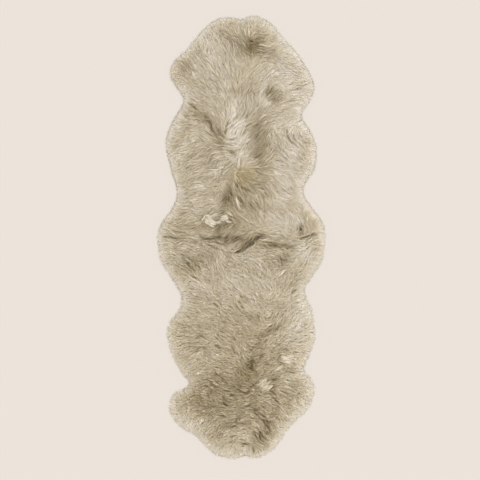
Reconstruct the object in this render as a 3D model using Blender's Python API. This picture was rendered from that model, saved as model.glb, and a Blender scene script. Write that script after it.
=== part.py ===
"""Sheepskin throw: two wool-on pelts sewn end to end, laid wool side up on a flat surface.

Metres, +Z up. The seam lies along X through the origin, the upper pelt reaches towards +Y
and the lower pelt towards -Y. Each pelt is one solid: the flat skin side is its underside
at z = 0, the lumpy top is the reach of the wool, and pointed wool locks stand round its rim.
"""

import math

import bmesh
import bpy
from mathutils import Vector, geometry, kdtree, noise

MM = 0.001

# Heights of the wool over the floor
PILE = 52 * MM
RIM_HEIGHT = 13 * MM  # at the roots of the rim locks
SEAM_HEIGHT = 36 * MM  # where the two pelts meet

# How far in from the rim, or from the seam, the wool reaches its full height
RIM_ROLL = 62 * MM
SEAM_ROLL = 34 * MM

SEAM_GAP = 0.3 * MM  # between the two solids, which are sewn edge to edge

# Rim locks
LOCKS = 140  # round the free rim of each pelt
RIM_INSET = 15 * MM  # from the pelt's outline in to the roots of the locks
LOCK_LENGTH = 18 * MM  # on average
LOCK_UNEVEN = 0.6  # how strongly the locks differ in length
LOCK_LEAN = 0.8  # how strongly their tips lean sideways
LOCK_WAIST_AT = 0.55  # where a lock's waist is, as a share of its length
LOCK_WAIST = 0.62  # how wide and high it is there, as a share of its root
LEAN_RUN = 90 * MM  # along the rim, how soon the locks change the way they lean
LEAN_PLACE = Vector((3, 7, 1))  # in the noise, apart from where the lengths come from

# The clumps that the wool parts into, and the slow swell of the whole fleece
CLUMP_SIZE, CLUMP_RISE = 62 * MM, 6 * MM
SWELL_SIZE, SWELL_RISE = 190 * MM, 4 * MM

# The mesh of a pelt's top
SEAM_STEPS = 32  # along the seam
ROW_INSETS = (9 * MM, 21 * MM, 38 * MM)  # rows of points that run along the edge
ROW_CLEARANCE = 0.9  # of its inset that each point of a row keeps from all of the edge
LATTICE_PITCH = 24 * MM  # between the points inside those rows
CURVE_STEPS = 24  # straight steps of the outline between two landmarks
RIM_SAMPLES = 8  # points for each lock, to measure how far away the rim is

# Outline of each pelt, out to the tips of its locks, in millimetres: the landmark, its
# distance right of the centre line, and its distance from the seam. The rows run from the
# left end of the seam, round the legs and the far end, to the right end of the seam.
UPPER_OUTLINE = (
    ("seam left", -346, 0),
    ("belly left", -334, 56),
    ("belly top left", -292, 112),
    ("waist left", -266, 178),
    ("flank left", -290, 280),
    ("chest left", -309, 382),
    ("chest top left", -287, 460),
    ("armpit left", -238, 546),
    ("leg pit left", -256, 588),
    ("leg left", -294, 660),
    ("shoulder left", -256, 738),
    ("neck left", -188, 802),
    ("head left", -138, 858),
    ("ear left", -84, 888),
    ("crown left", -36, 890),
    ("crown dip", -4, 880),
    ("crown right", 44, 899),
    ("ear right", 110, 871),
    ("neck right", 170, 812),
    ("shoulder right", 232, 734),
    ("elbow right", 282, 652),
    ("leg right", 295, 600),
    ("leg pit right", 274, 541),
    ("armpit right", 244, 488),
    ("chest top right", 272, 444),
    ("chest right", 302, 372),
    ("flank right", 299, 280),
    ("waist right", 254, 184),
    ("belly top right", 283, 124),
    ("belly right", 330, 62),
    ("seam right", 342, 0),
)
LOWER_OUTLINE = (
    ("seam left", -346, 0),
    ("hip left", -330, 96),
    ("hip end left", -277, 178),
    ("waist left", -244, 252),
    ("thigh pit left", -262, 300),
    ("thigh left", -303, 360),
    ("thigh middle left", -292, 452),
    ("thigh end left", -247, 545),
    ("hock left", -212, 594),
    ("shank left", -268, 618),
    ("leg left", -297, 684),
    ("foot left", -266, 750),
    ("rump left", -196, 802),
    ("tail side left", -124, 864),
    ("tail left", -38, 899),
    ("tail dip", 8, 884),
    ("tail right", 58, 894),
    ("tail side right", 124, 857),
    ("rump right", 178, 782),
    ("foot right", 250, 706),
    ("leg right", 297, 622),
    ("shank right", 286, 572),
    ("hock right", 256, 532),
    ("thigh end right", 279, 470),
    ("thigh right", 299, 400),
    ("thigh pit right", 286, 292),
    ("waist right", 256, 216),
    ("hip end right", 287, 158),
    ("hip right", 327, 96),
    ("seam right", 342, 0),
)
# Soft humps and troughs of the wool, in millimetres: the name, its middle right of the
# centre line and away from the seam, half its length and half its width, the turn of its
# length from the X axis in degrees, and its rise, which is negative for a trough.
UPPER_FOLDS = (
    ("whorl at the crown", 14, 784, 54, 32, 20, -17),
    ("ridge before the whorl", -60, 742, 90, 30, -48, 5),
    ("left shoulder", -140, 690, 80, 55, 50, 5),
    ("right shoulder", 160, 660, 80, 55, -50, 6),
    ("parting by the right leg", 124, 575, 30, 16, -35, -11),
    ("parting across the neck", -10, 588, 70, 10, -6, -6),
    ("spine", -20, 420, 125, 32, -80, 11),
    ("valley right of the spine", 58, 400, 150, 22, 88, -13),
    ("valley left of the spine", -118, 440, 75, 24, -60, -11),
    ("right flank", 180, 300, 120, 62, 84, 6),
    ("left flank", -195, 330, 90, 62, 90, 4),
    ("hollow under the spine", -30, 262, 42, 26, 0, -8),
    ("fork of the back", -62, 158, 62, 16, 78, -9),
    ("left tuft", -128, 88, 22, 15, -10, 8),
    ("middle tuft", -58, 92, 18, 13, 30, 7),
    ("right crease", 78, 120, 105, 11, 86, -8),
    ("right seam pleat", 240, 40, 32, 10, 76, -11),
)
LOWER_FOLDS = (
    ("back of the hips", -8, 150, 150, 62, 0, 7),
    ("left hip slope", -232, 98, 62, 34, 36, -9),
    ("right hip dip", 172, 88, 52, 26, -18, -8),
    ("left waist", -180, 235, 60, 40, 60, -5),
    ("right thigh", 240, 350, 70, 36, 80, 6),
    ("left thigh", -215, 400, 90, 42, 96, -5),
    ("saddle", -60, 380, 110, 70, 10, 4),
    ("hollow over the tail", 22, 545, 78, 24, 62, -12),
    ("right thigh tuft", 178, 484, 26, 18, 30, 9),
    ("middle tuft", 86, 594, 24, 16, 35, 9),
    ("tail hollow", -20, 690, 105, 40, 4, -9),
    ("right tail slope", 112, 760, 55, 20, 52, -9),
    ("left leg", -225, 690, 45, 35, 0, 4),
)

WOOL_COLOUR = (0.56, 0.48, 0.35, 1)  # linear; warm greige
WOOL_ROUGHNESS = 0.9


def clear_scene():
    for thing in list(bpy.data.objects):
        bpy.data.objects.remove(thing, do_unlink=True)


def wool_material():
    material = bpy.data.materials.new("wool")
    material.use_nodes = True
    shader = material.node_tree.nodes["Principled BSDF"]
    shader.inputs["Base Color"].default_value = WOOL_COLOUR
    shader.inputs["Roughness"].default_value = WOOL_ROUGHNESS
    shader.inputs["Metallic"].default_value = 0
    return material


def smooth_curve(points):
    """Points of a smooth curve through the given ones, CURVE_STEPS from one to the next."""
    padded = [2 * points[0] - points[1], *points, 2 * points[-1] - points[-2]]
    curve = []
    for before, start, end, after in zip(padded, padded[1:], padded[2:], padded[3:]):
        third = (end - start).length / 3
        leaving = start + (end - before).normalized() * third
        arriving = end - (after - start).normalized() * third
        curve += geometry.interpolate_bezier(start, leaving, arriving, end, CURVE_STEPS + 1)[:-1]
    return curve + [points[-1]]


def spaced(curve, count):
    """count + 1 points at even steps along the curve."""
    reached = [0.0]
    for a, b in zip(curve, curve[1:]):
        reached.append(reached[-1] + (b - a).length)
    points, step = [], 0
    for i in range(count + 1):
        wanted = reached[-1] * i / count
        while step < len(curve) - 2 and reached[step + 1] < wanted:
            step += 1
        share = (wanted - reached[step]) / (reached[step + 1] - reached[step])
        points.append(curve[step].lerp(curve[step + 1], min(1, share)))
    return points


def inset(points, distance):
    """The points moved towards the inside of a line that runs clockwise round it."""
    moved = []
    for before, point, after in zip([points[0], *points], points, [*points[1:], points[-1]]):
        run = (after - before).normalized()
        moved.append(point + Vector((run.y, -run.x)) * distance)
    return moved


def pelt_edge(outline):
    """(rim, seam): the roots of the rim locks, left to right, and back along the seam."""
    landmarks = [Vector((right, away)) * MM for _, right, away in outline]
    rim = inset(spaced(smooth_curve(landmarks), LOCKS), RIM_INSET)
    rim[0].y = rim[-1].y = 0
    rim = spaced(rim, LOCKS)
    return rim, spaced([rim[-1], rim[0]], SEAM_STEPS)


def tree_of(points):
    tree = kdtree.KDTree(len(points))
    for index, point in enumerate(points):
        tree.insert(point.to_3d(), index)
    tree.balance()
    return tree


def distance_to(tree, point):
    return tree.find(point.to_3d())[2]


def rows_along(edge):
    """Rows of points inside the edge, left out where they would crowd each other."""
    near_edge = tree_of(edge)
    rows = []
    for distance in ROW_INSETS:
        row = []
        for point in inset([*edge, edge[0]], distance)[:-1]:
            clear = distance_to(near_edge, point) > ROW_CLEARANCE * distance
            apart = all((point - other).length > distance / 2 for other in row)
            if clear and apart:
                row.append(point)
        rows += row
    return rows


def lattice_within(edge):
    """Points on a triangular lattice, clear of the edge and its rows."""
    near_edge = tree_of(edge)
    clearance = ROW_INSETS[-1] + LATTICE_PITCH / 2
    low_x, high_x = min(p.x for p in edge), max(p.x for p in edge)
    high_y = max(p.y for p in edge)
    row_pitch = LATTICE_PITCH * math.sqrt(3) / 2
    points = []
    for row in range(int(high_y / row_pitch)):
        offset = LATTICE_PITCH / 2 * (row % 2)
        for column in range(int((high_x - low_x) / LATTICE_PITCH)):
            point = Vector((low_x + offset + column * LATTICE_PITCH, row * row_pitch))
            if distance_to(near_edge, point) > clearance:
                points.append(point)
    return points


def rounded(share):
    """A quarter round: 0 up to share 0, and level at 1 from share 1 on."""
    return math.sqrt(1 - (1 - min(max(share, 0), 1)) ** 2)


def fold_rise(folds, point):
    """How much the humps and troughs lift the wool at this point."""
    rise = 0.0
    for _, right, away, long_half, wide_half, turn, height in folds:
        off = point - Vector((right, away)) * MM
        angle = math.radians(turn)
        along = (off.x * math.cos(angle) + off.y * math.sin(angle)) / (long_half * MM)
        across = (off.y * math.cos(angle) - off.x * math.sin(angle)) / (wide_half * MM)
        rise += height * MM * math.exp(-(along**2) - across**2)
    return rise


def wool_height(point, rim_distance, folds, side):
    """The top of the wool over a point of the pelt."""
    there = Vector((point.x, point.y * side, 0))
    clumps = CLUMP_RISE * noise.noise(there / CLUMP_SIZE)
    swell = SWELL_RISE * noise.noise(there / SWELL_SIZE)
    rim_share = rounded(rim_distance / RIM_ROLL)
    seam_share = rounded(point.y / SEAM_ROLL)
    full = PILE + fold_rise(folds, point) + clumps + swell
    inside = RIM_HEIGHT + (full - RIM_HEIGHT) * rim_share
    at_seam = RIM_HEIGHT + (SEAM_HEIGHT + clumps - RIM_HEIGHT) * rim_share
    return at_seam + (inside - at_seam) * seam_share


def pelt_top(mesh, rim, seam, folds, side):
    """Fills the empty bmesh with the lumpy top inside the pelt's edge."""
    edge = rim + seam[1:-1]
    points = edge + rows_along(edge) + lattice_within(edge)
    ring = [(i, (i + 1) % len(edge)) for i in range(len(edge))]
    inside_ring = 1  # the kind of output that leaves out triangles beyond the ring
    flat, _, faces, *_ = geometry.delaunay_2d_cdt(points, ring, [], inside_ring, SEAM_GAP)
    near_rim = tree_of(spaced(rim, LOCKS * RIM_SAMPLES))
    vertices = []
    for index, point in enumerate(flat):
        distance = 0 if index < len(rim) else distance_to(near_rim, point)
        vertices.append(mesh.verts.new((*point, wool_height(point, distance, folds, side))))
    for face in faces:
        mesh.faces.new([vertices[index] for index in face])


def face_outwards(mesh):
    bmesh.ops.recalc_face_normals(mesh, faces=mesh.faces[:])
    if mesh.calc_volume(signed=True) < 0:
        bmesh.ops.reverse_faces(mesh, faces=mesh.faces[:])


def add_walls_and_underside(mesh):
    """Drops the top's edge to the floor, closes the underside, and returns the walls."""
    edge = [e for e in mesh.edges if e.is_boundary]
    dropped = bmesh.ops.extrude_edge_only(mesh, edges=edge)["geom"]
    for vertex in (v for v in dropped if isinstance(v, bmesh.types.BMVert)):
        vertex.co.z = 0
    walls = [f for f in dropped if isinstance(f, bmesh.types.BMFace)]
    floor_edge = [e for e in dropped if isinstance(e, bmesh.types.BMEdge) and e.is_boundary]
    bmesh.ops.contextual_create(mesh, geom=floor_edge)
    face_outwards(mesh)
    return walls


def lock_tip(root, outward, near_rim):
    """Where a lock that grows from this place on the rim comes to a point on the floor."""
    uneven = noise.noise(root / LOCK_LENGTH)
    lean = noise.noise(root / LEAN_RUN + LEAN_PLACE)
    sideways = Vector((-outward.y, outward.x, 0)) * LOCK_LEAN * lean
    tip = root + (outward + sideways) * LOCK_LENGTH * (1 + LOCK_UNEVEN * uneven)
    room = distance_to(near_rim, tip.xy) / (tip - root).length  # little in a notch
    tip = root.lerp(tip, min(1, room**2))
    tip.y = max(tip.y, min(root.y, LOCK_LENGTH))  # beside the seam it stays on its own pelt
    return tip


def add_rim_locks(mesh, walls, rim):
    """Grows a pointed lock from each wall face that isn't on the seam."""
    near_rim = tree_of(rim)
    free = [f for f in walls if f.calc_center_median().y > SEAM_GAP]
    grown = []
    for face in bmesh.ops.extrude_discrete_faces(mesh, faces=free)["faces"]:
        root = face.calc_center_median()
        root.z = 0
        outward = Vector((face.normal.x, face.normal.y, 0)).normalized()
        tip = lock_tip(root, outward, near_rim)
        for vertex in face.verts:
            vertex.co = root + (vertex.co - root) * LOCK_WAIST + (tip - root) * LOCK_WAIST_AT
        grown.append((face, tip))
    for face, tip in grown:
        bmesh.ops.poke(mesh, faces=[face])["verts"][0].co = tip


def make_pelt(name, outline, folds, side, material):
    """One pelt. side is 1 where it reaches towards +Y from the seam, and -1 towards -Y."""
    rim, seam = pelt_edge(outline)
    mesh = bmesh.new()
    pelt_top(mesh, rim, seam, folds, side)
    walls = add_walls_and_underside(mesh)
    add_rim_locks(mesh, walls, rim)
    for vertex in mesh.verts:
        vertex.co.y = side * (vertex.co.y + SEAM_GAP / 2)
    face_outwards(mesh)
    data = bpy.data.meshes.new(name)
    mesh.to_mesh(data)
    mesh.free()
    data.shade_smooth()
    data.materials.append(material)
    return bpy.data.objects.new(name, data)


def main():
    clear_scene()
    throw = bpy.data.collections.new("sheepskin_throw")
    bpy.context.scene.collection.children.link(throw)
    wool = wool_material()
    throw.objects.link(make_pelt("upper_pelt", UPPER_OUTLINE, UPPER_FOLDS, 1, wool))
    throw.objects.link(make_pelt("lower_pelt", LOWER_OUTLINE, LOWER_FOLDS, -1, wool))


main()
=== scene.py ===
# %% [markdown]
# # A double sheepskin throw
# Two tanned sheepskins, sewn end to end, lie wool side up on a pale floor. The solids of the
# frame give each pelt's outline and the lumpy reach of its wool. This lesson dresses them: a
# leather skin underneath, a dense mass of underwool on it, and tens of thousands of wool locks
# that follow the way the fleece was combed.

# %% Load the frame
import math

import bmesh
import bpy
import numpy as np
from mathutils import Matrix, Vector, kdtree
from mathutils.bvhtree import BVHTree


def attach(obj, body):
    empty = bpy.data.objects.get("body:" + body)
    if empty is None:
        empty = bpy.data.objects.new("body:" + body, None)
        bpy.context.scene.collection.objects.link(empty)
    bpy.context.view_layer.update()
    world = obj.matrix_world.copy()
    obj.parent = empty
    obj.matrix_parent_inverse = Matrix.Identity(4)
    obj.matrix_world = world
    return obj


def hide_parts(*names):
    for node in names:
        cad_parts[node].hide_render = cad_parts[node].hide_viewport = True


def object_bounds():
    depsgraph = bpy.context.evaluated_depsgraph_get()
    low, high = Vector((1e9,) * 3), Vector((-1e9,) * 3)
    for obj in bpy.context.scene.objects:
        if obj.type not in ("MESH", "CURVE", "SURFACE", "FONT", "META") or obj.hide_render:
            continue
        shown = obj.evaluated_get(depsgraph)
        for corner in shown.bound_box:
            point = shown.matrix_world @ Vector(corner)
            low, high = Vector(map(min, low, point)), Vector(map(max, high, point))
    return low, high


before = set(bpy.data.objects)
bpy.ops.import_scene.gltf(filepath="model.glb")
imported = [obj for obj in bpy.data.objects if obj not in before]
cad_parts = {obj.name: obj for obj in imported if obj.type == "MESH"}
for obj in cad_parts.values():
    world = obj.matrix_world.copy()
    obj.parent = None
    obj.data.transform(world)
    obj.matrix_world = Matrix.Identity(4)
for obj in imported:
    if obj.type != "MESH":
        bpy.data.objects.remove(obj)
cad_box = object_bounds()
PELTS = {"upper": 1, "lower": -1}  # which way from the seam each pelt reaches along Y
MM = 0.001
print("the solids reach", [[round(v, 4) for v in corner] for corner in cad_box])

# %% [markdown]
# ## The wool's surface as a map
# Every lock of wool needs to know how high the fleece is below it and how far away the rim is.
# Asking the mesh each time would be slow, so the tops of both pelts are read once, by rays cast
# straight down, into an even grid. Numpy can then look up thousands of places at a time.

# %% Read the tops of the pelts
GRID = 3 * MM
MARGIN = 30 * MM
low, high = cad_box
columns = np.arange(low.x - MARGIN, high.x + MARGIN, GRID)
half_rows = np.arange(GRID / 2, high.y + MARGIN, GRID)
rows = np.concatenate([-half_rows[::-1], half_rows])  # no row lies in the gap of the seam


def top_of(node, xs, ys):
    """Heights of the node's top over a grid of places, and 0 beside it."""
    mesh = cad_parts[node].data
    tree = BVHTree.FromPolygons([v.co for v in mesh.vertices], [p.vertices for p in mesh.polygons])
    heights = np.zeros((len(ys), len(xs)))
    for row, y in enumerate(ys):
        for column, x in enumerate(xs):
            place = tree.ray_cast(Vector((x, y, 1)), Vector((0, 0, -1)))[0]
            if place:
                heights[row, column] = place.z
    return heights


top = np.vstack([
    top_of("lower_pelt", columns, rows[rows < 0]),
    top_of("upper_pelt", columns, rows[rows > 0]),
])
print("grid", top.shape, "tallest wool", round(float(top.max()), 4))

# %% Look up and blur a map
def look_up(grid, places):
    """The grid's values at an array of places, blended from the four nearest."""
    across = np.clip((places[..., 0] - columns[0]) / GRID, 0, len(columns) - 1.001)
    along = np.clip((places[..., 1] - rows[0]) / GRID, 0, len(rows) - 1.001)
    i, j = along.astype(int), across.astype(int)
    u, v = along - i, across - j
    near = grid[i, j] * (1 - v) + grid[i, j + 1] * v
    far = grid[i + 1, j] * (1 - v) + grid[i + 1, j + 1] * v
    return near * (1 - u) + far * u


def blurred(grid, radius):
    """The grid smoothed by a round hill of weights, radius in metres."""
    reach = int(3 * radius / GRID) + 1
    weights = np.exp(-((np.arange(-reach, reach + 1) * GRID / radius) ** 2))
    weights /= weights.sum()
    for axis in (0, 1):
        padding = [(reach, reach) if axis == k else (0, 0) for k in (0, 1)]
        padded = np.pad(grid, padding, mode="edge")
        grid = np.apply_along_axis(np.convolve, axis, padded, weights, "valid")
    return grid


# %% [markdown]
# The rim is where the fleece drops to the floor. The distance to it is positive inside, and its
# slope points the way in, so minus the slope is the way out: the wool at the rim lies that way.
# In a few places the wool lies a little further out or further in than the solids do.

# %% Measure the distance to the rim
RIM_LEVEL = 12.5 * MM  # the rim is where the solids are this high
WOOL_OVERHANG = 16 * MM  # from the rim out to the tips of the wool
ROUND_HEIGHT, ROUND_WIDTH = 34 * MM, 45 * MM  # how high and how wide the wool rounds over at the rim
RIM_SHIFTS = (
    # name, right, up, reach, further out
    ("left of the crown", -107, 884, 16, 8),
    ("right of the crown", 172, 808, 30, -9),
    ("left side of the crown", -224, 753, 34, -14),
    ("left notch of the neck", -240, 566, 20, -9),
    ("right notch of the ribs", 256, 512, 28, -9),
    ("right waist", 260, 215, 54, -8),
    ("left waist", -275, 150, 60, -5),
    ("left hip", -318, 50, 60, -5),
    ("right notch of the croup", 250, -540, 18, -13),
    ("right leg", 268, -690, 42, 10),
    ("right of the end", 165, -815, 46, 8),
    ("left of the end", -175, -805, 46, -7),
    ("bottom of the end", -104, -876, 16, 14),
)

inside = top > RIM_LEVEL
edge = np.zeros_like(inside)
for axis in (0, 1):
    for shift in (1, -1):
        edge |= inside & ~np.roll(inside, shift, axis)
edge_places = np.argwhere(edge)
rim_tree = kdtree.KDTree(len(edge_places))
for index, (row, column) in enumerate(edge_places):
    rim_tree.insert((columns[column], rows[row], 0), index)
rim_tree.balance()
distance = np.array([[rim_tree.find((x, y, 0))[2] for x in columns] for y in rows])
to_rim = blurred(np.where(inside, distance, -distance), 1.5 * GRID)
grid_places = np.stack(np.meshgrid(columns, rows), -1)
for _, right, up, reach, out in RIM_SHIFTS:
    off = grid_places - np.array((right, up)) * MM
    to_rim += out * MM * np.exp(-(off**2).sum(-1) / (reach * MM) ** 2)
inward_y, inward_x = np.gradient(blurred(to_rim, 4 * GRID), GRID)

from_floor = np.clip((to_rim + WOOL_OVERHANG) / ROUND_WIDTH, 0, 1)
rounded = ROUND_HEIGHT * (1 - (1 - from_floor) ** 2.5) ** 0.5
drape = blurred(np.maximum(np.where(inside, top, 0), rounded), GRID)
print("rim cells", len(edge_places), "deepest inside", round(float(to_rim.max()), 3))

# %% [markdown]
# The two fleeces lean over the joint of the skins and hide it. So the map is levelled across the
# joint first. Then it gets a furrow along the wandering line where the wools meet. Here the
# furrow gapes, there it is closed.

# %% Close the joint and draw the furrow
MEETING_LINE = (
    # right, up, how far the furrow gapes
    (-340, 0, 0.4),
    (-296, 3, 0.6),
    (-262, -4, 0.7),
    (-225, -6, 0.1),
    (-165, -8, 0.1),
    (-136, -8, 0.5),
    (-95, -6, 0.6),
    (-62, -16, 0.6),
    (-34, -46, 0.9),
    (-16, -56, 1.0),
    (22, -40, 1.0),
    (48, -24, 1.0),
    (72, 4, 0.6),
    (100, 0, 0.3),
    (134, -6, 0.5),
    (195, -4, 0.3),
    (236, -4, 0.6),
    (256, 2, 0.8),
    (302, 18, 0.6),
    (340, 20, 0.5),
)
LEVELLED = 17 * MM  # how far to each side of the joint
FURROW_DEPTH, FURROW_WIDTH = 6 * MM, 5 * MM


def gape_at(places):
    """How far the furrow gapes beside each place."""
    right, _, gapes = np.transpose(MEETING_LINE)
    return np.interp(places[..., 0], right * MM, gapes)


def beyond_seam(places, side):
    """How far each place is on its pelt's side of the line where the two fleeces meet."""
    right, up, _ = np.transpose(MEETING_LINE) * MM
    return side * (places[..., 1] - np.interp(places[..., 0], right, up))


level = np.nonzero(np.abs(rows) < LEVELLED)[0]
across = np.linspace(0, 1, len(level))[:, None]
drape[level] = (1 - across) * drape[level[0]] + across * drape[level[-1]]
furrow = gape_at(grid_places) * np.exp(-((beyond_seam(grid_places, 1) / FURROW_WIDTH) ** 2))
drape -= np.minimum(FURROW_DEPTH * furrow, 0.4 * drape)
slope_y, slope_x = np.gradient(blurred(drape, 2 * GRID), GRID)
print("deepest furrow", round(float(FURROW_DEPTH * furrow.max()), 4))

# %% [markdown]
# ## The way the wool lies
# On a real skin the wool runs from the neck to the tail and out to the sides, and hands and
# brushes have pushed it about since. So the fleece is combed with a short list of strokes. Each
# has a place, the heading in which the tips point, and a reach. The wool between two strokes
# blends them, and at the rim it turns outwards. Headings blend at twice their angle: wool that
# was brushed to and fro then keeps its lie, and only the way of its tips changes. Places are in
# millimetres right of the centre line and up from the seam, and headings in degrees turned left
# from pointing right.

# %% Comb the fleece
STROKES = (
    # name, right, up, heading, reach
    ("crown left", -95, 842, 128, 30),
    ("crown left lower", -55, 786, 134, 22),
    ("above the whorl", 9, 830, 106, 16),
    ("above the whorl right", 69, 846, 44, 20),
    ("whorl left", 5, 765, 140, 15),
    ("whorl right", 61, 761, 14, 16),
    ("inner right of the crown", 78, 822, 38, 16),
    ("right of the crown", 118, 818, 18, 16),
    ("right of the whorl top", 82, 790, 20, 14),
    ("right of the whorl", 124, 777, 2, 18),
    ("far right of the whorl", 170, 761, -22, 24),
    ("under the whorl left", 1, 705, 128, 20),
    ("under the whorl right", 61, 701, 46, 16),
    ("beside the whorl", 118, 713, -27, 15),
    ("left shoulder top", -168, 757, 104, 26),
    ("left shoulder", -148, 697, 126, 30),
    ("right shoulder", 174, 705, -33, 26),
    ("right arm inner", 164, 640, 20, 20),
    ("right arm", 234, 641, -4, 28),
    ("right arm lower", 226, 589, 14, 20),
    ("left arm", -248, 653, 130, 28),
    ("left arm lower", -208, 593, 166, 24),
    ("neck left", -120, 657, 134, 28),
    ("neck", -43, 673, 102, 24),
    ("neck right", 21, 640, 60, 20),
    ("neck far right", 93, 652, 50, 20),
    ("chest left", -128, 585, 127, 28),
    ("chest middle", -43, 585, 116, 18),
    ("chest right", 33, 556, 62, 22),
    ("above the pit", 105, 612, 58, 18),
    ("left of the pit", 66, 572, 66, 14),
    ("right of the pit", 162, 585, -12, 16),
    ("under the pit", 118, 534, 34, 18),
    ("chest left lower", -144, 524, 134, 28),
    ("chest middle lower", -43, 528, 84, 18),
    ("right chest", 186, 536, 10, 22),
    ("right chest lower", 194, 488, 34, 24),
    ("right chest rim", 230, 478, 36, 16),
    ("left ribs", -108, 476, 128, 20),
    ("left ribs outer", -150, 484, 183, 16),
    ("left ribs rim", -208, 464, 176, 26),
    ("left ribs low", -190, 444, 176, 12),
    ("left of the left valley", -148, 398, 141, 15),
    ("left of the parting", -108, 432, 122, 16),
    ("right of the parting", -46, 446, 48, 16),
    ("top of the ridge", -5, 484, 50, 16),
    ("ridge", 0, 428, 48, 20),
    ("left foot of the ridge", -40, 372, -10, 14),
    ("foot of the ridge", 10, 370, 27, 12),
    ("under the left foot of the ridge", -47, 340, -37, 10),
    ("ridge end", -15, 344, 56, 16),
    ("valley", 52, 440, 56, 16),
    ("valley lower", 60, 350, 41, 20),
    ("right of the valley", 88, 400, 46, 16),
    ("right of the valley low", 114, 352, 34, 16),
    ("right flank inner", 150, 384, -66, 20),
    ("middle of the right flank", 212, 424, -64, 12),
    ("right flank", 238, 410, -46, 22),
    ("right flank lower", 202, 319, -34, 28),
    ("right flank rim", 262, 311, -51, 18),
    ("left flank top", -224, 392, 206, 24),
    ("left flank", -200, 303, 208, 26),
    ("left flank rim", -272, 325, 216, 18),
    ("left of the ridge end", -120, 319, 205, 16),
    ("left of the back", -136, 247, 188, 18),
    ("under the ridge", -71, 263, 216, 15),
    ("back", -43, 203, -74, 16),
    ("right of the back", 17, 215, -28, 18),
    ("beside the back", 65, 231, -10, 15),
    ("right waist top", 170, 263, -10, 14),
    ("right waist inner", 114, 191, -70, 16),
    ("right waist", 194, 199, -45, 30),
    ("left waist", -208, 183, 205, 26),
    ("left waist inner", -144, 160, 184, 24),
    ("left hip rim", -252, 112, 175, 28),
    ("left of the fork top", -75, 171, 227, 9),
    ("fork left", -91, 151, 230, 15),
    ("fork", -46, 148, -80, 9),
    ("fork right", -19, 139, -58, 14),
    ("under the fork", 17, 94, -48, 20),
    ("left of the crease", 78, 96, -58, 14),
    ("right of the crease", 130, 135, -44, 16),
    ("right hip above the seam", 178, 94, -36, 22),
    ("right seam corner", 274, 70, -84, 18),
    ("left of the seam corner", 234, 56, -88, 10),
    ("seam left of the middle", -146, -8, 157, 16),
    ("left hip above the seam", -224, 86, 190, 24),
    ("left tufts", -136, 86, 212, 18),
    ("seam left", -232, 26, 172, 26),
    ("seam middle left", -79, 30, 208, 20),
    ("seam middle", 5, 24, 218, 14),
    ("over the crossing", 26, -12, -112, 10),
    ("over the end of the crossing", -8, -34, -96, 9),
    ("left of the notch", 166, 34, -94, 10),
    ("seam right", 138, 26, -8, 26),
    ("left seam corner", -296, -34, 158, 20),
    ("below the seam left", -184, -34, 168, 26),
    ("crossing of the seam", -15, -34, 208, 20),
    ("below the seam right", 146, -34, -8, 24),
    ("below the seam far right", 250, -36, 30, 26),
    ("left hip", -200, -115, 152, 28),
    ("left hip inner", -99, -86, 112, 18),
    ("hips middle", -6, -106, 136, 18),
    ("right hip", 162, -84, -36, 16),
    ("right hip corner", 266, -84, 43, 24),
    ("right hip low", 212, -138, 50, 22),
    ("loin left", -168, -187, 151, 30),
    ("hips middle low", -46, -139, 153, 16),
    ("loin", -23, -179, 144, 34),
    ("loin parting", 97, -175, 124, 16),
    ("loin right", 194, -187, 50, 28),
    ("back left", -176, -283, 160, 28),
    ("back middle left", -50, -307, 155, 20),
    ("back middle", -8, -291, 140, 26),
    ("right of the back", 60, -262, 127, 20),
    ("right of the saddle top", 56, -312, 130, 14),
    ("back right", 154, -283, 38, 28),
    ("saddle left", -208, -404, 178, 26),
    ("saddle left inner", -148, -424, 184, 18),
    ("saddle middle left", -76, -404, 154, 24),
    ("saddle middle", 9, -396, 140, 20),
    ("saddle right", 105, -404, 30, 24),
    ("right thigh", 202, -404, 20, 24),
    ("left thigh", -224, -492, 204, 26),
    ("left thigh low", -200, -536, 188, 20),
    ("croup left far", -146, -478, 182, 14),
    ("croup left of the middle", -132, -506, 150, 14),
    ("croup left", -96, -516, 157, 24),
    ("croup middle", 1, -500, 150, 20),
    ("croup right", 89, -508, 20, 24),
    ("right thigh low", 194, -500, 0, 26),
    ("croup left low", -63, -605, 158, 24),
    ("croup middle low", 25, -613, 6, 14),
    ("croup right low", 96, -595, 20, 16),
    ("left leg top", -194, -590, 168, 22),
    ("left leg", -232, -640, 186, 26),
    ("right leg inner", 170, -613, -22, 22),
    ("right leg", 226, -669, -28, 28),
    ("rump left", -144, -669, 184, 20),
    ("rump left of the middle", -103, -673, 140, 12),
    ("rump middle left", -47, -669, 166, 18),
    ("rump middle", 9, -709, 190, 16),
    ("rump middle right", 58, -701, -15, 14),
    ("rump right", 102, -685, -22, 22),
    ("left leg end", -222, -725, 235, 24),
    ("end left", -128, -765, 224, 22),
    ("end middle", -23, -765, 198, 20),
    ("end right", 81, -765, -38, 24),
    ("right leg end", 178, -733, -28, 24),
    ("tip left", -47, -826, 214, 18),
    ("tip right", 65, -830, -58, 20),
)
RIM_TURN = 24 * MM  # how far in from the rim the wool turns outwards
STROKE_BLEND = 9 * MM  # how softly one stroke passes into the next
STROKE_CORE = 0.05  # keeps the weight of a stroke finite at its own place
RIM_PULL = 1.4  # weight of the way out at the rim, where all strokes together weigh 1
WANDER_SEED = 5
WANDER_SIZE, WANDER = 18 * MM, 13  # size of the swirls and how many degrees they turn the wool


def unit(vectors):
    return vectors / np.maximum(np.linalg.norm(vectors, axis=-1, keepdims=True), 1e-9)


def turned(vectors, angles):
    """Vectors in the plane, each turned left by its angle."""
    x, y = vectors[..., 0], vectors[..., 1]
    cos, sin = np.cos(angles), np.sin(angles)
    return np.stack([x * cos - y * sin, x * sin + y * cos], -1)


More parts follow.
